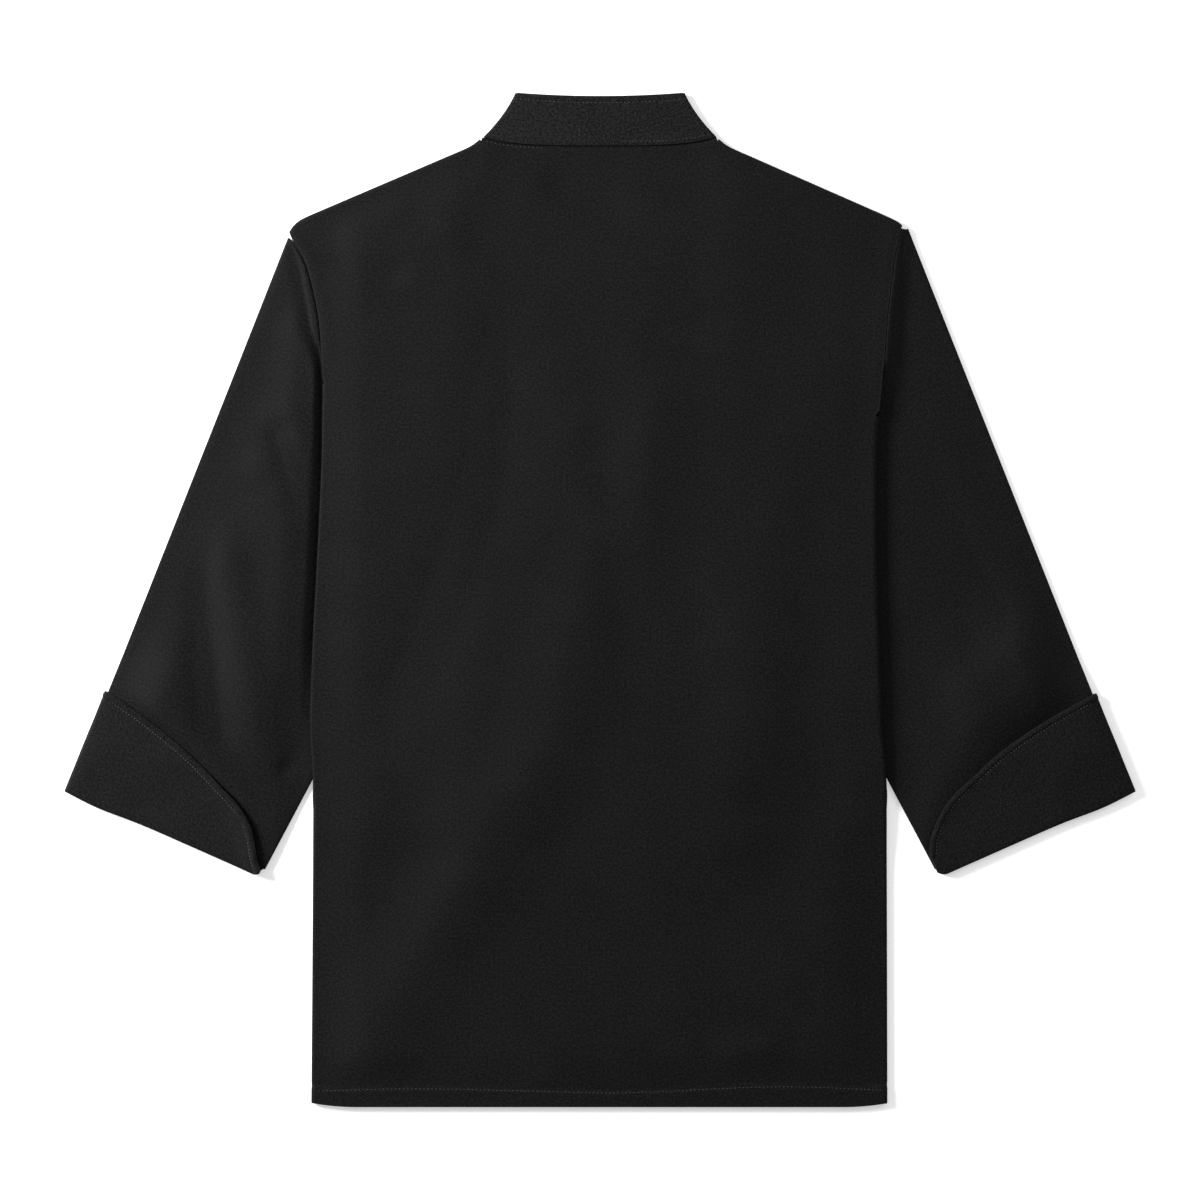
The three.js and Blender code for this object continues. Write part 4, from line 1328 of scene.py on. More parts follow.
    def folded_side(self, side: Side, last: Array) -> Array:
        """The fold at the side and the part under it, in to the side seam.

        Args:
            side: which side.
            last: the panel's outermost column.

        Returns:
            The grid of the fold, open above the junction.
        """
        cut = self.cut
        rows = self.edge_rows(side)
        folded = rows <= side.junction_y + 0.01
        u, y, z = side.sign * last[:, 0], last[:, 1], last[:, 2]
        low = cut.flap_height(u, rows)
        radius = (z - low) / 2
        centre = placed(side, u, y, low + radius)
        outward = np.tile([side.sign, 0.0, 0.0], (len(rows), 1))
        turn = rounded(centre, outward, radius, self.fold_steps)
        share = np.linspace(0, 1, self.flap_columns + 1)[None, :]
        uu = mix(u[:, None], cut.underarm[0] + cut.seam_gap / 2, share)
        foot, top = cut.flap_ramp(uu)
        armhole = cut.hidden_armhole(side).height_at(np.maximum(uu, cut.underarm[0]))
        row = rows[:, None]
        foot_row, top_row = self.flap_rows
        low_share = (row - cut.hem_y) / (foot_row - cut.hem_y)
        low_y = mix(cut.hem_y + cut.hem_rise(uu), foot, low_share)
        mid_y = mix(foot, top, (row - foot_row) / (top_row - foot_row))
        high_y = mix(top, armhole, (row - top_row) / (side.junction_y - top_row))
        yy = np.where(row < foot_row, low_y, np.where(row < top_row, mid_y, high_y))
        yy[:, 0] = y
        up = yy - cut.hem_y
        band = self.band * (1 - ease((up - cut.hem_band) / self.band_end.length))
        under = placed(side, uu, yy, cut.flap_height(uu, yy) + band * share * 0.4)
        under[:, 0, 2] = low
        grid = np.concatenate([turn, under], axis=1)
        grid[~folded] = np.nan
        return grid

    def turned_shoulder(self, side: Side, last: Array, on_shoulder: Array) -> Array:
        """The shoulder edge, turned over and a little way under.

        Args:
            side: which side.
            last: the panel's top row.
            on_shoulder: which columns are on the shoulder.

        Returns:
            The rows added above the panel, open along the neck.
        """
        cut = self.cut
        inward = np.array([-side.sign * side.shoulder_slope, -1.0, 0.0])
        inward /= np.linalg.norm(inward)
        low = cut.layer(0)
        radius = (last[:, 2] - low) / 2
        centre = last.copy()
        centre[:, 2] = low + radius
        turn = rounded(centre, np.tile(-inward, (len(last), 1)), radius, self.fold_steps)
        under = centre.copy()
        under[:, 2] = low
        rows = np.concatenate([
            turn.transpose(1, 0, 2), under[None],
            (under + inward * cut.shoulder_turn / 2)[None], (under + inward * cut.shoulder_turn)[None],
        ])
        rows[:, ~on_shoulder] = np.nan
        return rows

    def grid(self) -> tuple[Array, int]:
        """The whole piece.

        Returns:
            Its grid, and the number of its middle column.
        """
        parts = {side.name: self.half(side) for side in SIDES}
        left, right = parts["left"], parts["right"]
        body = np.concatenate([left[1][:, ::-1], left[0][:, ::-1], right[0][:, 1:], right[1]], axis=1)
        blank = np.full((left[2].shape[0], left[1].shape[1], 3), np.nan)
        turned = np.concatenate([blank, left[2][:, ::-1], right[2][:, 1:], blank], axis=1)
        middle = left[1].shape[1] + left[0].shape[1] - 1
        return np.concatenate([body, turned]), middle

    def stitch_lines(self) -> list[Array]:
        """The hem's line of stitches, and the one under the left half of the neck seam.

        Returns:
            Lines of points.
        """
        x = np.linspace(*self.hem_run)
        y = self.hem_stitches.at(x)
        z = np.where(x < 0, self.height(LEFT, -x, y), self.height(RIGHT, x, y))
        u = np.linspace(*self.neck_run)
        neck_y = self.cut.back_top(LEFT, u) - self.neck_inset
        hem_lift, neck_lift = self.stitch_lift
        neck = placed(LEFT, u, neck_y, self.height(LEFT, u, neck_y) + neck_lift)
        return [np.stack([x, y, z + hem_lift], axis=1), neck]

    def build(self, thread: bpy.types.Material) -> None:
        """Args:
            thread: the material of the stitches.
        """
        grid, middle = self.grid()
        piece = ClothWall("back_cloth", grid, self.cut.cloth, arc_uv(grid, 0, middle)).build()
        seams = Stitching("back_stitches", self.stitch_lines()).build(thread)
        self.declare(piece, "back", Slot.BODY, (0.655, 0.790), 0.432,
                     ("front_left", "front_right", "sleeve_left", "sleeve_right"), (seams,))


@dataclass
class Fronts(Panel):
    """The two fronts, which lie under the back and face the surface."""

    stitch_inset: float = 6.5
    stitch_rise: float = 0.4  # the stitches sink this far into the face that lies down
    armhole_steps: tuple[int, int] = (16, 24)  # along the stretch that shows, and the rest
    groove_width: float = 1.3
    seam_rows: int = 56
    corner_from_y: float = 268.0  # whose half width, with the tip's, places the shoulder corner
    stitch_lift: float = 0.10
    edge_columns: tuple[float, ...] = (8.7, 7.6, 6.5, 5.4, 4.3, 2, 0)  # in from the free edge

    def shoulder_y(self, side: Side, u: Array) -> Array:
        """The line where a front meets the back's turned shoulder edge.

        Args:
            side: which side.
            u: places outwards.

        Returns:
            Its height at each place.
        """
        cut = self.cut
        at = np.array(cut.shoulder[0] + 60.0)
        radius = (cut.layer(3) - cut.layer(0)) / 2
        radius = radius + cut.lift(at, cut.back_top(side, at)) / 2
        inset = cut.cloth / 2 + radius + cut.shoulder_turn + cut.seam_gap + 1
        steep = math.hypot(1, side.shoulder_slope)
        return cut.shoulder[1] - side.shoulder_slope * (u - cut.shoulder[0]) - inset * steep

    def grid(self, side: Side) -> Array:
        """One front.

        Args:
            side: which side.

        Returns:
            Its grid, from the outer edge in to the free edge.
        """
        cut = self.cut
        seam_y = np.linspace(cut.hem_y, cut.underarm[1], self.seam_rows)[:-1]
        points, normals = cut.armhole(side, *self.armhole_steps)
        curve = (points - normals * cut.seam_gap / 2)[::-1]
        curve = curve[curve[:, 1] < self.shoulder_y(side, curve[:, 0]) - 5]
        corner_u = (side.tip[0] + float(side.edge(np.array(self.corner_from_y)))) / 2 - 1
        corner_y = float(self.shoulder_y(side, np.array(corner_u))) - side.tip_drop - 1
        outer_u = np.concatenate([np.full(len(seam_y), cut.underarm[0] - cut.seam_gap / 2),
                                  curve[:, 0], [corner_u]])[:, None]
        outer_y = np.concatenate([seam_y, curve[:, 1], [corner_y]])[:, None]
        shoulder_u = np.linspace(corner_u, 91, 18)
        neck_u, neck_y = cut.front_neck.at(np.linspace(0, 1, 15)[1:])
        over_u = np.concatenate([np.linspace(neck_u[-1], cut.free_edge_u + 10, 10)[1:],
                                 cut.free_edge_u + np.array(self.edge_columns)])
        flat_y = np.full(len(over_u), cut.front_neck.points[-1][1])
        top_u = np.concatenate([shoulder_u, neck_u, over_u])[None, :]
        top_y = np.concatenate([self.shoulder_y(side, shoulder_u), neck_y - cut.seam_gap,
                                flat_y - cut.seam_gap])[None, :]
        top_y[0, 0] = corner_y
        share = (corner_u - top_u) / (corner_u - cut.free_edge_u)
        u = mix(outer_u, cut.free_edge_u, share)
        base = cut.underarm[1]
        stretch = (top_y - base) / (corner_y - base)
        y = np.minimum(outer_y, base) + np.maximum(0, outer_y - base) * stretch
        groove = Bump(self.stitch_inset, self.groove_width, self.stitch_rise)
        z = cut.front_height(side, u, y) + groove.at(top_u - cut.free_edge_u)
        return placed(side, u, y, z)

    def build(self, thread: bpy.types.Material) -> None:
        """Make and dress both fronts, each with stitches along its free edge."""
        for side in SIDES:
            grid = self.grid(side)
            name = f"front_{side.name}"
            piece = ClothWall(f"{name}_cloth", grid, self.cut.cloth, arc_uv(grid, 0, 0)).build()
            edge = grid[:, -5] - np.array([0.0, 0.0, self.cut.cloth / 2 + self.stitch_lift])
            seams = Stitching(f"{name}_stitches", [edge]).build(thread)
            rests = ("front_left",) if side is RIGHT else ("button_left_1", "button_right_1")
            self.declare(piece, name, Slot.BODY, (0.312, 0.760), 0.166, rests, (seams,))


@dataclass
class Sleeves(Panel):
    """The two sleeves, flattened tubes that come out from under the body."""

    visible_steps: int = 24
    hidden_steps: int = 36
    fold_steps: int = 6
    in_cuff: float = 3.2
    short: float = 1.9
    near_seam: tuple[float, ...] = (
        0, 1.5, 3, 4.5, 6, 8, 10, 12.5, 15, 17.5, 20, 22.5, 25, 28, 32, 37, 43, 50,
    )
    climb: float = 42.0  # length of the close rows before the cuff
    overhang: float = 0.5  # past the cuff's edge, where they end

    def columns(self, side: Side) -> tuple[Array, Array]:
        """Where each column starts at the armhole and ends in the cuff.

        Args:
            side: which side.

        Returns:
            The starts and the ends, as rows of u and y.
        """
        cut = self.cut
        points, normals = cut.armhole(side, self.visible_steps, self.hidden_steps)
        start = np.concatenate([[side.sleeve_head], points + normals * cut.seam_gap / 2])
        across = np.linspace(self.in_cuff, cut.sleeve_width, len(start))
        end = np.stack(cut.on_sleeve(across, self.short + cut.corner_rise(across)), axis=1)
        return start, end

    def stations(self, side: Side, start: Array, end: Array) -> Array:
        """Shares of each column's length at which the sleeve has its rows.

        Args:
            side: which side.
            start: where the columns start.
            end: where they end.

        Returns:
            The shares, rows by columns.
        """
        length = np.linalg.norm(end - start, axis=1)

        def past(share: Array) -> Array:
            """How far past the cuff's edge a share of each column is."""
            at = start + (end - start) * share[:, None]
            return self.cut.past_cuff(side, at[:, 0], at[:, 1]) - self.overhang

        cuff = crossing(past, np.zeros(len(start)), np.ones(len(start)))
        near = np.array(self.near_seam)[:, None] / length
        ramp = cuff - self.climb / length
        body = np.stack([mix(near[-1], ramp, s) for s in np.linspace(0, 1, 58)[1:]])
        climb = np.stack([mix(ramp, cuff, s) for s in np.linspace(0, 1, 14)[1:]])
        inside = np.stack([mix(cuff, 1.0, s) for s in np.linspace(0, 1, 9)[1:]])
        return np.concatenate([near, body, climb, inside])

    def grid(self, side: Side) -> tuple[Array, Array]:
        """One sleeve.

        Args:
            side: which side.

        Returns:
            Its closed grid and its flat layout.
        """
        cut = self.cut
        start, end = self.columns(side)
        share = self.stations(side, start, end)[..., None]
        at = start[None] + (end - start)[None] * share
        u, y = at[..., 0], at[..., 1]
        top = placed(side, u, y, cut.sleeve_top(side, u, y))
        low = placed(side, u, y, cut.sleeve_bottom(side, u, y))

        def fold(column: int, guide: int) -> Array:
            """The folded edge at one column, from the upper to the lower layer.

            Args:
                column: the column at the fold.
                guide: a column on the inner side of the fold.

            Returns:
                Its points.
            """
            along = end[column] - start[column]
            square = np.array([-along[1], along[0]]) / np.linalg.norm(along)
            if square @ (start[guide] - start[column]) < 0:
                square = -square
            inward = np.array([side.sign * square[0], square[1], 0.0])
            radius = (top[:, column, 2] - low[:, column, 2]) / 2
            centre = (top[:, column] + low[:, column]) / 2
            centre = centre + inward * (radius + cut.cloth / 2)[:, None]
            lift = np.array([0.0, 0.0, 1.0]) * radius[:, None]
            turn = rounded(centre, np.tile(-inward, (len(centre), 1)), radius, self.fold_steps)
            return np.concatenate([(centre + lift)[:, None], turn, (centre - lift)[:, None]], axis=1)

        first = 1 if side is RIGHT else 2
        inner = fold(-1, 0)
        outer = fold(0, -1)[:, ::-1]
        grid = np.concatenate([top[:, first:-2], inner, low[:, first:-2][:, ::-1], outer], axis=1)
        return grid, self.layout(side, grid, top.shape[1] - 2 - first, inner.shape[1])

    def layout(self, side: Side, grid: Array, layer: int, turn: int) -> Array:
        """The sleeve laid out flat, with its grain along the sleeve.

        Args:
            side: which side.
            grid: the closed grid.
            layer: how many columns each layer has.
            turn: how many columns each fold has.

        Returns:
            Its flat places, with the first column again at the end.
        """
        across, up = self.cut.from_sleeve(side.sign * grid[..., 0], grid[..., 1])
        closed = np.concatenate([grid, grid[:, :1]], axis=1)
        step = np.linalg.norm(np.diff(closed, axis=1), axis=2)
        total = np.concatenate([np.zeros((len(grid), 1)), np.cumsum(step, axis=1)], axis=1)
        flat = total + across[:, :1]
        flat[:, :layer] = across[:, :layer]
        back_start = layer + turn
        jump = 2 * across[:, layer:layer + 1] + 8
        flat[:, back_start:back_start + layer] = jump - across[:, back_start:back_start + layer]
        up = np.concatenate([up, up[:, :1]], axis=1)
        return np.stack([flat, up], axis=2)

    def build(self) -> None:
        """Make and dress both sleeves."""
        for side in SIDES:
            grid, flat = self.grid(side)
            name = f"sleeve_{side.name}"
            piece = ClothWall(f"{name}_cloth", grid, self.cut.cloth, flat, closed=True).build()
            self.declare(piece, name, Slot.BODY, (0.400, 0.480), 0.132, ())


@dataclass
class Cuffs(Panel):
    """The turned-back cuffs, with a thick curved free edge and a line of stitches."""

    turn: float = 1.5
    flare: float = 0.03
    fold_steps: int = 6
    stitch_inset: float = 5.0
    thick: float = 0.85  # height of the thick edge
    thick_edge: Bump = Bump(2.4, 2.2)
    groove: tuple[float, float] = (0.35, 0.9)  # depth and width
    pucker: Pucker = Pucker(0.12, 0.62, 2.0, 0.11)
    ripple: float = 0.35
    swell: tuple[Bump, Bump] = (Bump(40, 30, 0.9), Bump(45, 22))  # across and up
    curl_width: float = 11.0
    curl_start: Step = Step(90, 45)
    bulge: Bump = Bump(28, 26, 2.0)  # of the folded end
    near_rows: tuple[float, ...] = (0, 0.008, 0.016, 0.025, 0.034, 0.044, 0.055, 0.067, 0.08, 0.1, 0.125)
    row_pitch: float = 0.055
    turn_angles: tuple[float, ...] = (22, 45, 68, 90)  # degrees, round the sleeve's end
    close_columns: tuple[float, float] = (24.0, 1.2)  # reach and pitch near the inner end
    open_columns: tuple[float, float] = (12.0, 2.6)  # where the rest end, and their pitch
    stitch_lift: float = 0.08

    def levels(self) -> tuple[float, float]:
        """Heights of the middle of the lower and the upper layer.

        Returns:
            Both heights.
        """
        cut = self.cut
        inside = cut.layer(1) + cut.cuff_wall + cut.cuff_gap
        return cut.cuff_wall / 2, inside + cut.cloth / 2 + cut.cuff_gap + cut.cuff_wall / 2

    def bead(self, side: Side, across: Array, up: Array) -> Array:
        """Relief of the thick edge and the groove along its stitches.

        Args:
            side: which side.
            across: places across the sleeve's end.
            up: places up the sleeve.

        Returns:
            The height added to the upper layer.
        """
        line = np.linspace(-2, side.cuff_inner, 240)
        edge = side.cuff.at(line)
        away = np.sqrt((across[..., None] - line) ** 2 + (up[..., None] - edge) ** 2).min(axis=-1)
        rise = (self.thick + self.pucker.at(across, across)) * self.thick_edge.at(away)
        depth, width = self.groove
        rise = rise - depth * bell(away - self.stitch_inset, width)
        ripple = self.ripple * unevenness(across * 1.4, up * 1.4, 5.0) * ease(up / 12)
        outer = self.swell[0].at(across) * self.swell[1].at(up)
        curl = side.cuff_curl * bell(away, self.curl_width) * self.curl_start.at(across)
        return rise + ripple + outer + curl

    def grid(self, side: Side) -> Array:
        """One cuff.

        Args:
            side: which side.

        Returns:
            Its grid, from the upper layer's inner end round the fold to the lower layer's.
        """
        cut = self.cut
        low, high = self.levels()
        turns = len(self.turn_angles)
        rest = steps(self.near_rows[-1], 1, self.row_pitch)
        share = np.concatenate([1 - np.array(self.near_rows), 1 - rest, np.zeros(turns)])
        angle = np.concatenate([np.zeros(len(share) - turns), np.radians(self.turn_angles)])
        inner = side.cuff_inner
        reach, pitch = self.close_columns
        columns = np.concatenate([inner - np.arange(0, reach, pitch),
                                  steps(inner - reach + 1, *self.open_columns)])

        def layer(across: Array, upper: bool, flare: float) -> Array:
            """One layer of the cuff at places across.

            Args:
                across: places across the sleeve's end.
                upper: whether it is the upper layer.
                flare: how much it narrows up the sleeve.

            Returns:
                Its points.
            """
            edge = side.cuff.at(across)
            drop = self.turn * (1 - np.cos(angle))[:, None]
            flat = cut.cuff_wall / 2 + self.turn + cut.corner_rise(across)
            up = mix(flat, edge, share[:, None]) - self.turn * np.sin(angle)[:, None]
            bulge = self.bulge.at(across) * (1 - share[:, None]) ** 4
            u, y = cut.on_sleeve(across - flare * up, up - bulge)
            z = high - drop + self.bead(side, across + 0 * up, up) if upper else low + drop
            return placed(side, u, y, z + 0 * u)

        radius = (high - low) / 2 - self.turn * (1 - np.cos(angle))
        inset = radius[:, None] + cut.cuff_wall / 2
        top = layer(inset, True, self.flare)
        bottom = layer(inset, False, self.flare)
        centre = (top + bottom)[:, 0] / 2
        true_radius = (top[:, 0, 2] - bottom[:, 0, 2]) / 2
        outward = np.tile([side.sign * cut.sleeve_level, cut.sleeve_lean, 0.0], (len(centre), 1))
        turn = rounded(centre, outward, true_radius, self.fold_steps)
        upper = layer(columns[None, :] + 0 * share[:, None], True, 0.0)
        lower = layer(columns[None, :] + 0 * share[:, None], False, 0.0)
        return np.concatenate([upper, top, turn, bottom, lower[:, ::-1]], axis=1)

    def stitch_line(self, side: Side) -> Array:
        """The line of stitches just inside the curved free edge.

        Args:
            side: which side.

        Returns:
            Its points.
        """
        line = np.linspace(6, side.cuff_inner, 260)
        edge = side.cuff.at(line)
        tangent = np.gradient(np.stack([line, edge], axis=1), axis=0)
        tangent /= np.linalg.norm(tangent, axis=1, keepdims=True)
        across = line + tangent[:, 1] * self.stitch_inset
        up = edge - tangent[:, 0] * self.stitch_inset
        keep = up > 1.0
        across, up = across[keep], up[keep]
        u, y = self.cut.on_sleeve(across, up)
        z = self.levels()[1] + self.bead(side, across, up) + self.cut.cuff_wall / 2 + self.stitch_lift
        return placed(side, u, y, z)

    def build(self, thread: bpy.types.Material) -> None:
        """Make and dress both cuffs and their stitches."""
        flat, areas = (0.342, 0.090), {"left": 0.0201, "right": 0.0225}
        for side in SIDES:
            grid = self.grid(side)
            name = f"cuff_{side.name}"
            uv = arc_uv(grid, 0, grid.shape[1] // 2)
            piece = ClothWall(f"{name}_cloth", grid, self.cut.cuff_wall, uv).build()
            lines = [self.stitch_line(side)]
            seams = Stitching(f"{name}_stitches", lines, pitch=2.6, length=1.75, radius=0.22)
            self.declare(piece, name, Slot.CUFF, flat, areas[side.name],
                         (f"sleeve_{side.name}",), (seams.build(thread),))


@dataclass
class Collar(Panel):
    """The stand collar: the back half shows and the front half lies under it."""

    top: tuple[float, float, float] = (67.2, 397.8, 2.5)  # half width, height and rise
    waist: float = 2.4
    back_rise: float = 0.9
    fold_steps: int = 6
    top_stitches: float = 0.875  # share of the height at which they run
    low_stitches: float = 0.07
    pucker: Pucker = Pucker(0.13, 0.5, 1.5, 0.09)
    pucker_at: Bump = Bump(0.88, 0.12)
    grooves: tuple[Bump, Bump] = (Bump(0.875, 0.022, -0.3), Bump(0.0, 0.02, -0.2))
    ridge: Bump = Bump(0.07, 0.06, 0.35)
    softness: float = 0.45
    stitch_lift: float = 0.08
    rows: tuple[float, ...] = (
        0, 0.02, 0.045, 0.07, 0.1, 0.15, 0.22, 0.3, 0.38, 0.46, 0.54, 0.62, 0.7, 0.76, 0.81, 0.845,
        0.86, 0.875, 0.89, 0.91, 0.94, 0.97, 1.0,
    )
    near_fold: Step = Step(0.9, 0.1)
    front_top: Bow = Bow(((67.2, 400.3), (56.0, 352.0), (30.0, 330.0), (1.5, 326.0)))

    def back_height(self, x: Array, share: Array, across: Array) -> Array:
        """Height of the back half's middle, with puckers that end before its folds.

        Args:
            x: places across.
            share: shares of the height.
            across: shares of the half width.

        Returns:
            The height of its middle.
        """
        cut = self.cut
        level = cut.layer(2) + (cut.collar_wall - cut.cloth) / 2 + self.back_rise * share
        pucker = self.pucker.at(x, x) * self.pucker_at.at(share)
        groove = self.grooves[0].at(share) + self.grooves[1].at(share)
        soft = self.softness * unevenness(x * 0.8, share * 40, 3.0) * 4 * share * (1 - share)
        detail = pucker + groove + self.ridge.at(share) + soft
        return level + detail * (1 - self.near_fold.at(across))

    def front_height(self, side: Side, u: Array, y: Array) -> Array:
        """Height of the front half's middle."""
        cut = self.cut
        return cut.front_height(side, u, y) * 0.6 + cut.collar_wall / 2 - cut.layer(0) * 0.6

    def fold_inset(self, side: Side, share: Array) -> Array:
        """How far the middle of the fold at a side stays inside the outline.

        Args:
            side: which side.
            share: shares of the height.

        Returns:
            The distance.
        """
        cut = self.cut
        flat = cut.layer(2) + (cut.collar_wall - cut.cloth) / 2 + self.back_rise * share
        front = self.front_height(side, np.array(cut.neck_half), np.array(self.top[1]))
        return (flat - front) / 2 + cut.collar_wall / 2

    def back_half(self, side: Side, across: Array, share: Array) -> Array:
        """Points of the back half at shares across and up.

        Args:
            side: which side.
            across: shares of the half width.
            share: shares of the height.

        Returns:
            The points.
        """
        cut = self.cut
        half = mix(cut.neck_half, self.top[0], share) - self.waist * 4 * share * (1 - share)
        u = across * (half - self.fold_inset(side, share))
        seam = cut.neck_seam[0] + cut.neck_seam[1] * across**4 + cut.seam_gap / 2
        y = mix(seam, self.top[1] + self.top[2] * across**2, share)
        return placed(side, u, y, self.back_height(side.sign * u, share + 0 * u, across))

    def side_half(self, side: Side, share: Array) -> Array:
        """One side of the collar: half of its back, the fold and the front half.

        Args:
            side: which side.
            share: heights of the rows, as shares of the collar's.

        Returns:
            Its grid, from the middle of the back outwards.
        """
        cut = self.cut
        rows = share[:, None]
        back = self.back_half(side, np.linspace(0, 1, 34)[None, :], rows)
        last = back[:, -1]
        radius = self.fold_inset(side, share) - cut.collar_wall / 2
        centre = last - np.array([0.0, 0.0, 1.0]) * radius[:, None]
        outward = np.tile([side.sign, 0.0, 0.0], (len(share), 1))
        turn = rounded(centre, outward, radius, self.fold_steps)
        under = (centre - np.array([0.0, 0.0, 1.0]) * radius[:, None])[:, None]
        along = np.linspace(0, 1, 21)[None, 1:]
        low_u, low_y = cut.front_neck.at(along)
        high_u, high_y = self.front_top.at(along)
        inset = self.fold_inset(side, rows) * (1 - along)
        curve = self.waist * 4 * rows * (1 - rows) * (1 - along)
        u = mix(low_u, high_u, rows) - inset - curve
        y = mix(low_y, high_y, rows)
        front = placed(side, u, y, self.front_height(side, u, y))
        return np.concatenate([back, turn, under, front], axis=1)

    def stitch_lines(self) -> list[Array]:
        """The line near the top edge, and the faint one above the neck seam on the right.

        Returns:
            Lines of points.
        """
        lift = np.array([0, 0, self.cut.collar_wall / 2 + self.stitch_lift])
        runs = ((LEFT, (0.0, 0.985), 90, self.top_stitches), (RIGHT, (0.0, 0.985), 90, self.top_stitches),
                (RIGHT, (0.3, 0.97), 80, self.low_stitches))
        return [self.back_half(side, np.linspace(*ends, count), np.full(count, height)) + lift
                for side, ends, count, height in runs]

    def build(self, thread: bpy.types.Material) -> None:
        """Args:
            thread: the material of the stitches.
        """
        left, right = (self.side_half(side, np.array(self.rows)) for side in SIDES)
        grid = np.concatenate([left[:, ::-1], right[:, 1:]], axis=1)
        uv = arc_uv(grid, 0, left.shape[1] - 1)
        piece = ClothWall("collar_cloth", grid, self.cut.collar_wall, uv).build()
        seams = Stitching("collar_stitches", self.stitch_lines()).build(thread)
        self.declare(piece, "collar", Slot.COLLAR, (0.425, 0.045), 0.0149,
                     ("front_left", "front_right"), (seams,))


@dataclass
class Buttons:
    """Two columns of five plain buttons, on the side that faces the surface."""

    finish: bpy.types.Material
    thread: bpy.types.Material
    column_u: float = 65.0
    rows_y: tuple[float, ...] = (240, 140, 40, -60, -160)
    profile: tuple[tuple[float, float], ...] = (
        (0, 0.7), (3.2, 0.7), (5.2, 0.65), (6.6, 0.25), (7.4, 0.04), (8.1, 0.1), (8.7, 0.5),
        (9.0, 1.1), (8.8, 1.7), (8.2, 2.1), (7.2, 2.2), (0, 2.2),
    )
    sides: int = 40

    def build(self) -> None:
        """Make the buttons, and the thread that holds them on."""
        lines = []
        for side in SIDES:
            for number, y in enumerate(self.rows_y, start=1):
                node = f"button_{side.name}_{number}"
                centre = (side.sign * self.column_u, y)
                piece = self.one(f"{node}_turned", centre)
                piece.data.materials.append(self.finish)
                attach(piece, BODY)
                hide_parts(node)
                for shift in (-1.3, 1.3):
                    x = centre[0] + shift
                    lines.append(np.array([(x, y - 1.6, 0.66), (x, y + 1.6, 0.66)]))
        threads = Stitching("button_threads", lines, pitch=1.6, length=2.3, radius=0.42)
        threads = threads.build(self.thread)
        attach(threads, BODY)
        LOG.info("buttons: %d", 2 * len(self.rows_y))

    def one(self, name: str, centre: tuple[float, float]) -> bpy.types.Object:
        """One turned button.

        Args:
            name: its name.
            centre: its x and y.

        Returns:
            The new object.
        """
        rings = np.array(self.profile[1:-1])
        angle = np.linspace(0, 2 * np.pi, self.sides, endpoint=False)
        x = rings[:, :1] * np.cos(angle) + centre[0]
        y = rings[:, :1] * np.sin(angle) + centre[1]
        z = np.repeat(rings[:, 1:], self.sides, axis=1)
        ring_points = np.stack([x, y, z], axis=2).reshape(-1, 3)
        ends = np.array([(*centre, self.profile[0][1]), (*centre, self.profile[-1][1])])
        vertices = np.concatenate([ring_points, ends]) * MM
        faces = []
        count = len(rings)
        for i in range(self.sides):
            j = (i + 1) % self.sides
            faces += [(r * self.sides + i, r * self.sides + j, (r + 1) * self.sides + j,
                       (r + 1) * self.sides + i) for r in range(count - 1)]
            faces.append((j, i, count * self.sides))
            top = (count - 1) * self.sides
            faces.append((top + i, top + j, count * self.sides + 1))
        mesh = bpy.data.meshes.new(name)
        mesh.from_pydata([tuple(v) for v in vertices], [], faces)
        return linked(name, smoothed(mesh))


# ---- Studio ----


@dataclass
class Studio:
    """A pale floor, one large soft lamp to the upper left, a fill, and a camera straight above."""

    view_width: float = 0.948
    lens: float = 100.0
    sensor: float = 36.0
    world: float = 0.38
    key: float = 106.0
    key_place: tuple[float, float, float] = (-1.80, 0.75, 0.92)
    key_size: float = 0.7
    fill: float = 9.0
    fill_place: tuple[float, float, float] = (1.3, 1.0, 1.0)
    fill_size: float = 1.0
    floor_half: float = 4.0
    floor_z: float = -0.0004
    cloth_z: float = 0.005  # height at which the view has its width

    def lamp(self, name: str, power: float, place: tuple[float, float, float], size: float) -> None:
        """Add a square lamp that faces the middle of the jacket.

        Args:
            name: its name.
            power: watts.
            place: where it stands.
            size: length of its side.
        """
        light = bpy.data.lights.new(name, "AREA")
        light.energy, light.size = power, size
        made = linked(name, light)
        made.visible_camera = False
        made.location = place
        direction = -np.array(place)
        made.rotation_mode = "XYZ"
        horizontal = math.hypot(direction[0], direction[1])
        made.rotation_euler = (math.atan2(horizontal, -direction[2]), 0.0,
                               math.atan2(direction[1], direction[0]) - math.pi / 2)

    def build(self) -> None:
        """Set up the floor, the light and the camera."""
        scene = bpy.context.scene
        mesh = bpy.data.meshes.new("floor")
        corners = ((-1, -1), (1, -1), (1, 1), (-1, 1))
        mesh.from_pydata([(x * self.floor_half, y * self.floor_half, self.floor_z) for x, y in corners],
                         [], [(0, 1, 2, 3)])
        mesh.materials.append(FloorFinish().material())
        linked("floor", mesh)
        world = bpy.data.worlds.new("studio")
        world.use_nodes = True
        background = world.node_tree.nodes["Background"]
        background.inputs["Color"].default_value = (1.0, 1.0, 1.0, 1.0)
        background.inputs["Strength"].default_value = self.world
        scene.world = world
        self.lamp("key", self.key, self.key_place, self.key_size)
        self.lamp("fill", self.fill, self.fill_place, self.fill_size)
        scene.view_settings.view_transform = "Standard"
        data = bpy.data.cameras.new("above")
        data.lens, data.sensor_width = self.lens, self.sensor
        data.clip_end = 50.0
        camera = linked("above", data)
        distance = self.view_width * self.lens / self.sensor
        camera.location = (0.0, 0.0, distance + self.cloth_z)
        scene.camera = camera
        LOG.info("studio: camera %.3f m up", distance)
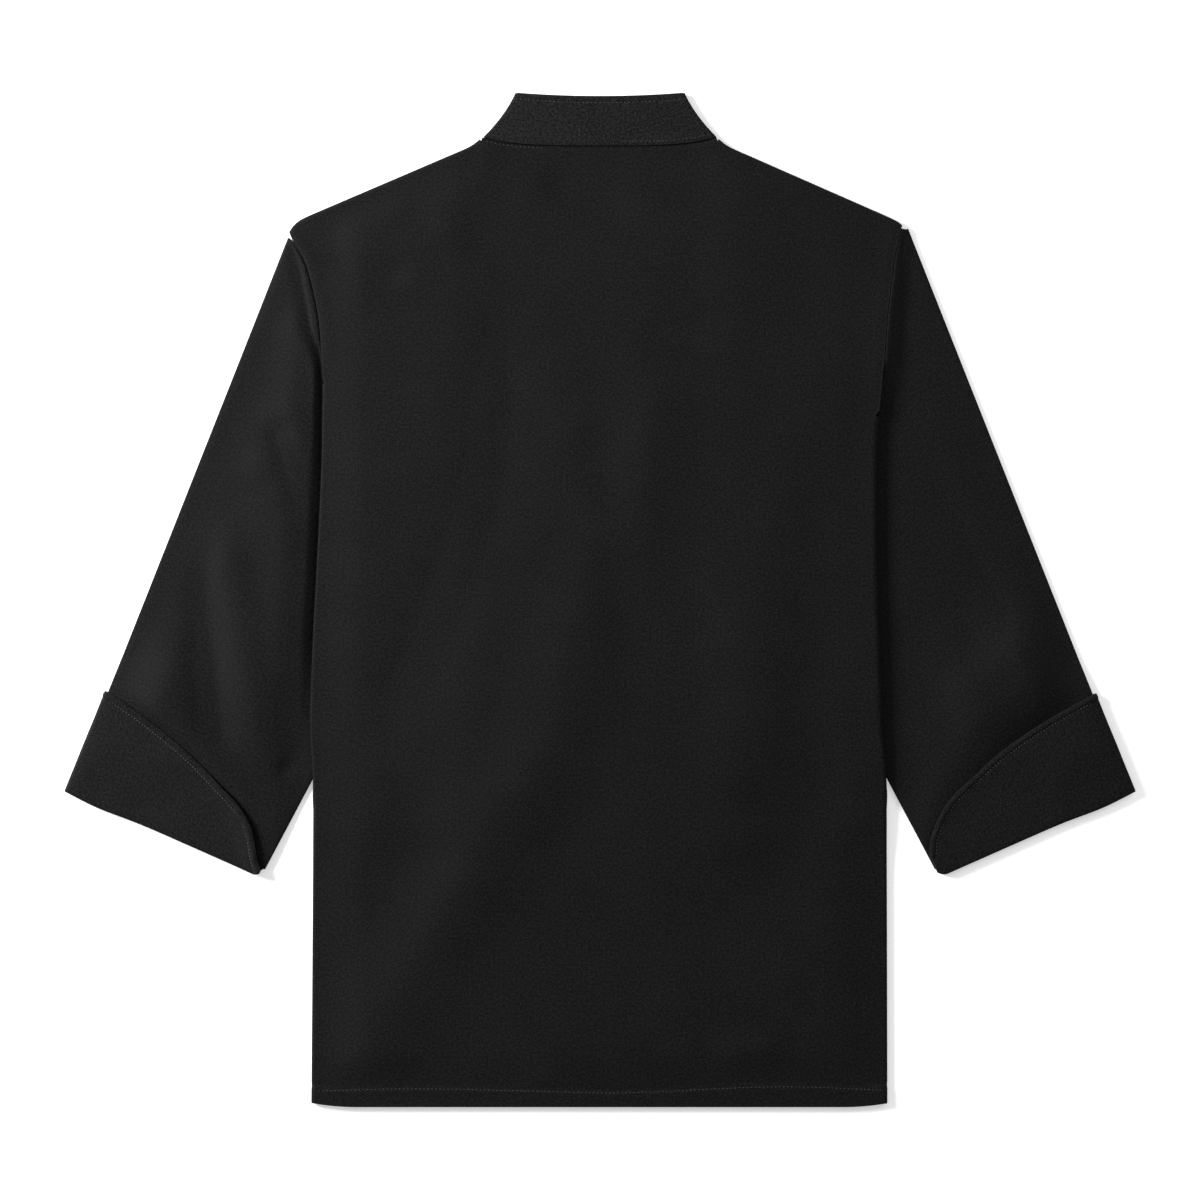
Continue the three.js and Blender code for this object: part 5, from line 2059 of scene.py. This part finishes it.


# ---- Creases, placed one by one ----

BACK_CREASES = (
    Crease((-192, -383), (-49, -137), 34, 1.7, bow=-8),
    Crease((-62, -157), (43, 173), 34, 1.6, bow=10),
    Crease((-80, 209), (-159, -91), 34, -1.5, bow=-16),
    Crease((12, 150), (19, -45), 22, -1.0, bow=4),
    Crease((128, -120), (168, 190), 38, 1.8, bow=-8),
    Crease((-43, 329), (22, 313), 15, -1.5, fade=0.6),
    Crease((-205, 262), (-110, 289), 24, 1.0),
    Crease((-237, 270), (-155, 256), 12, -1.0),
    Crease((80, -262), (190, -132), 46, -0.9),
    Crease((96, -358), (142, -356), 15, 0.9, fade=0.7),
    Crease((-56, -386), (-32, -378), 12, 0.7, fade=0.8),
    Crease((-130, -190), (-185, -300), 30, -0.6),
)
EDGE_CREASES = (
    Crease((229, 258), (223, -150), 34, 4.2, fade=0.4),
    Crease((-150, 312), (-205, 288), 9, 0.8),
)
FRONT_CREASES = (
    Crease((-150, -300), (-60, -120), 26, 0.55),
    Crease((60, 60), (120, 210), 30, 0.5),
    Crease((90, -330), (30, -210), 24, 0.5),
)
SLEEVE_CREASES = (
    Crease((-295, 50), (-264, -130), 18, 1.8, bow=4),
    Crease((-317, 32), (-305, -126), 16, -1.6),
    Crease((-256, 138), (-230, 72), 13, -1.6),
    Crease((-300, 170), (-268, 100), 20, 0.8),
    Crease((-314, 128), (-337, 94), 7, -1.2, fade=0.6),
    Crease((-330, 64), (-354, 38), 7, -1.1, fade=0.6),
    Crease((-226, -118), (-252, -138), 6, -1.6, fade=0.6),
    Crease((300, 150), (362, -40), 24, 1.8, bow=-6),
    Crease((240, 95), (316, -32), 24, -2.2),
    Crease((338, 56), (358, 36), 8, 0.8, fade=0.6),
    Crease((262, -20), (300, -110), 22, 0.8),
)


def main() -> None:
    """Build the jacket piece by piece, then the studio."""
    logging.basicConfig(level=logging.INFO, format="%(name)s: %(message)s")
    cut = Cut(back_creases=BACK_CREASES, edge_creases=EDGE_CREASES, front_creases=FRONT_CREASES,
              sleeve_creases=SLEEVE_CREASES)
    body = TwillFinish("body_twill").material()
    collar = TwillFinish("collar_twill", light=(0.0148, 0.0148, 0.0148)).material()
    cuff = TwillFinish("cuff_twill", light=(0.0100, 0.0100, 0.0100)).material()
    thread = ThreadFinish("grey_thread").material()
    bright = ThreadFinish("light_thread", (0.020, 0.020, 0.0205), (0.12, 0.12, 0.122)).material()
    Fronts(cut, body).build(thread)
    Sleeves(cut, body).build()
    Back(cut, body).build(thread)
    Collar(cut, collar).build(thread)
    Cuffs(cut, cuff).build(bright)
    Buttons(ButtonFinish("black_button").material(), thread).build()
    Studio().build()


if __name__ == "__main__":
    main()
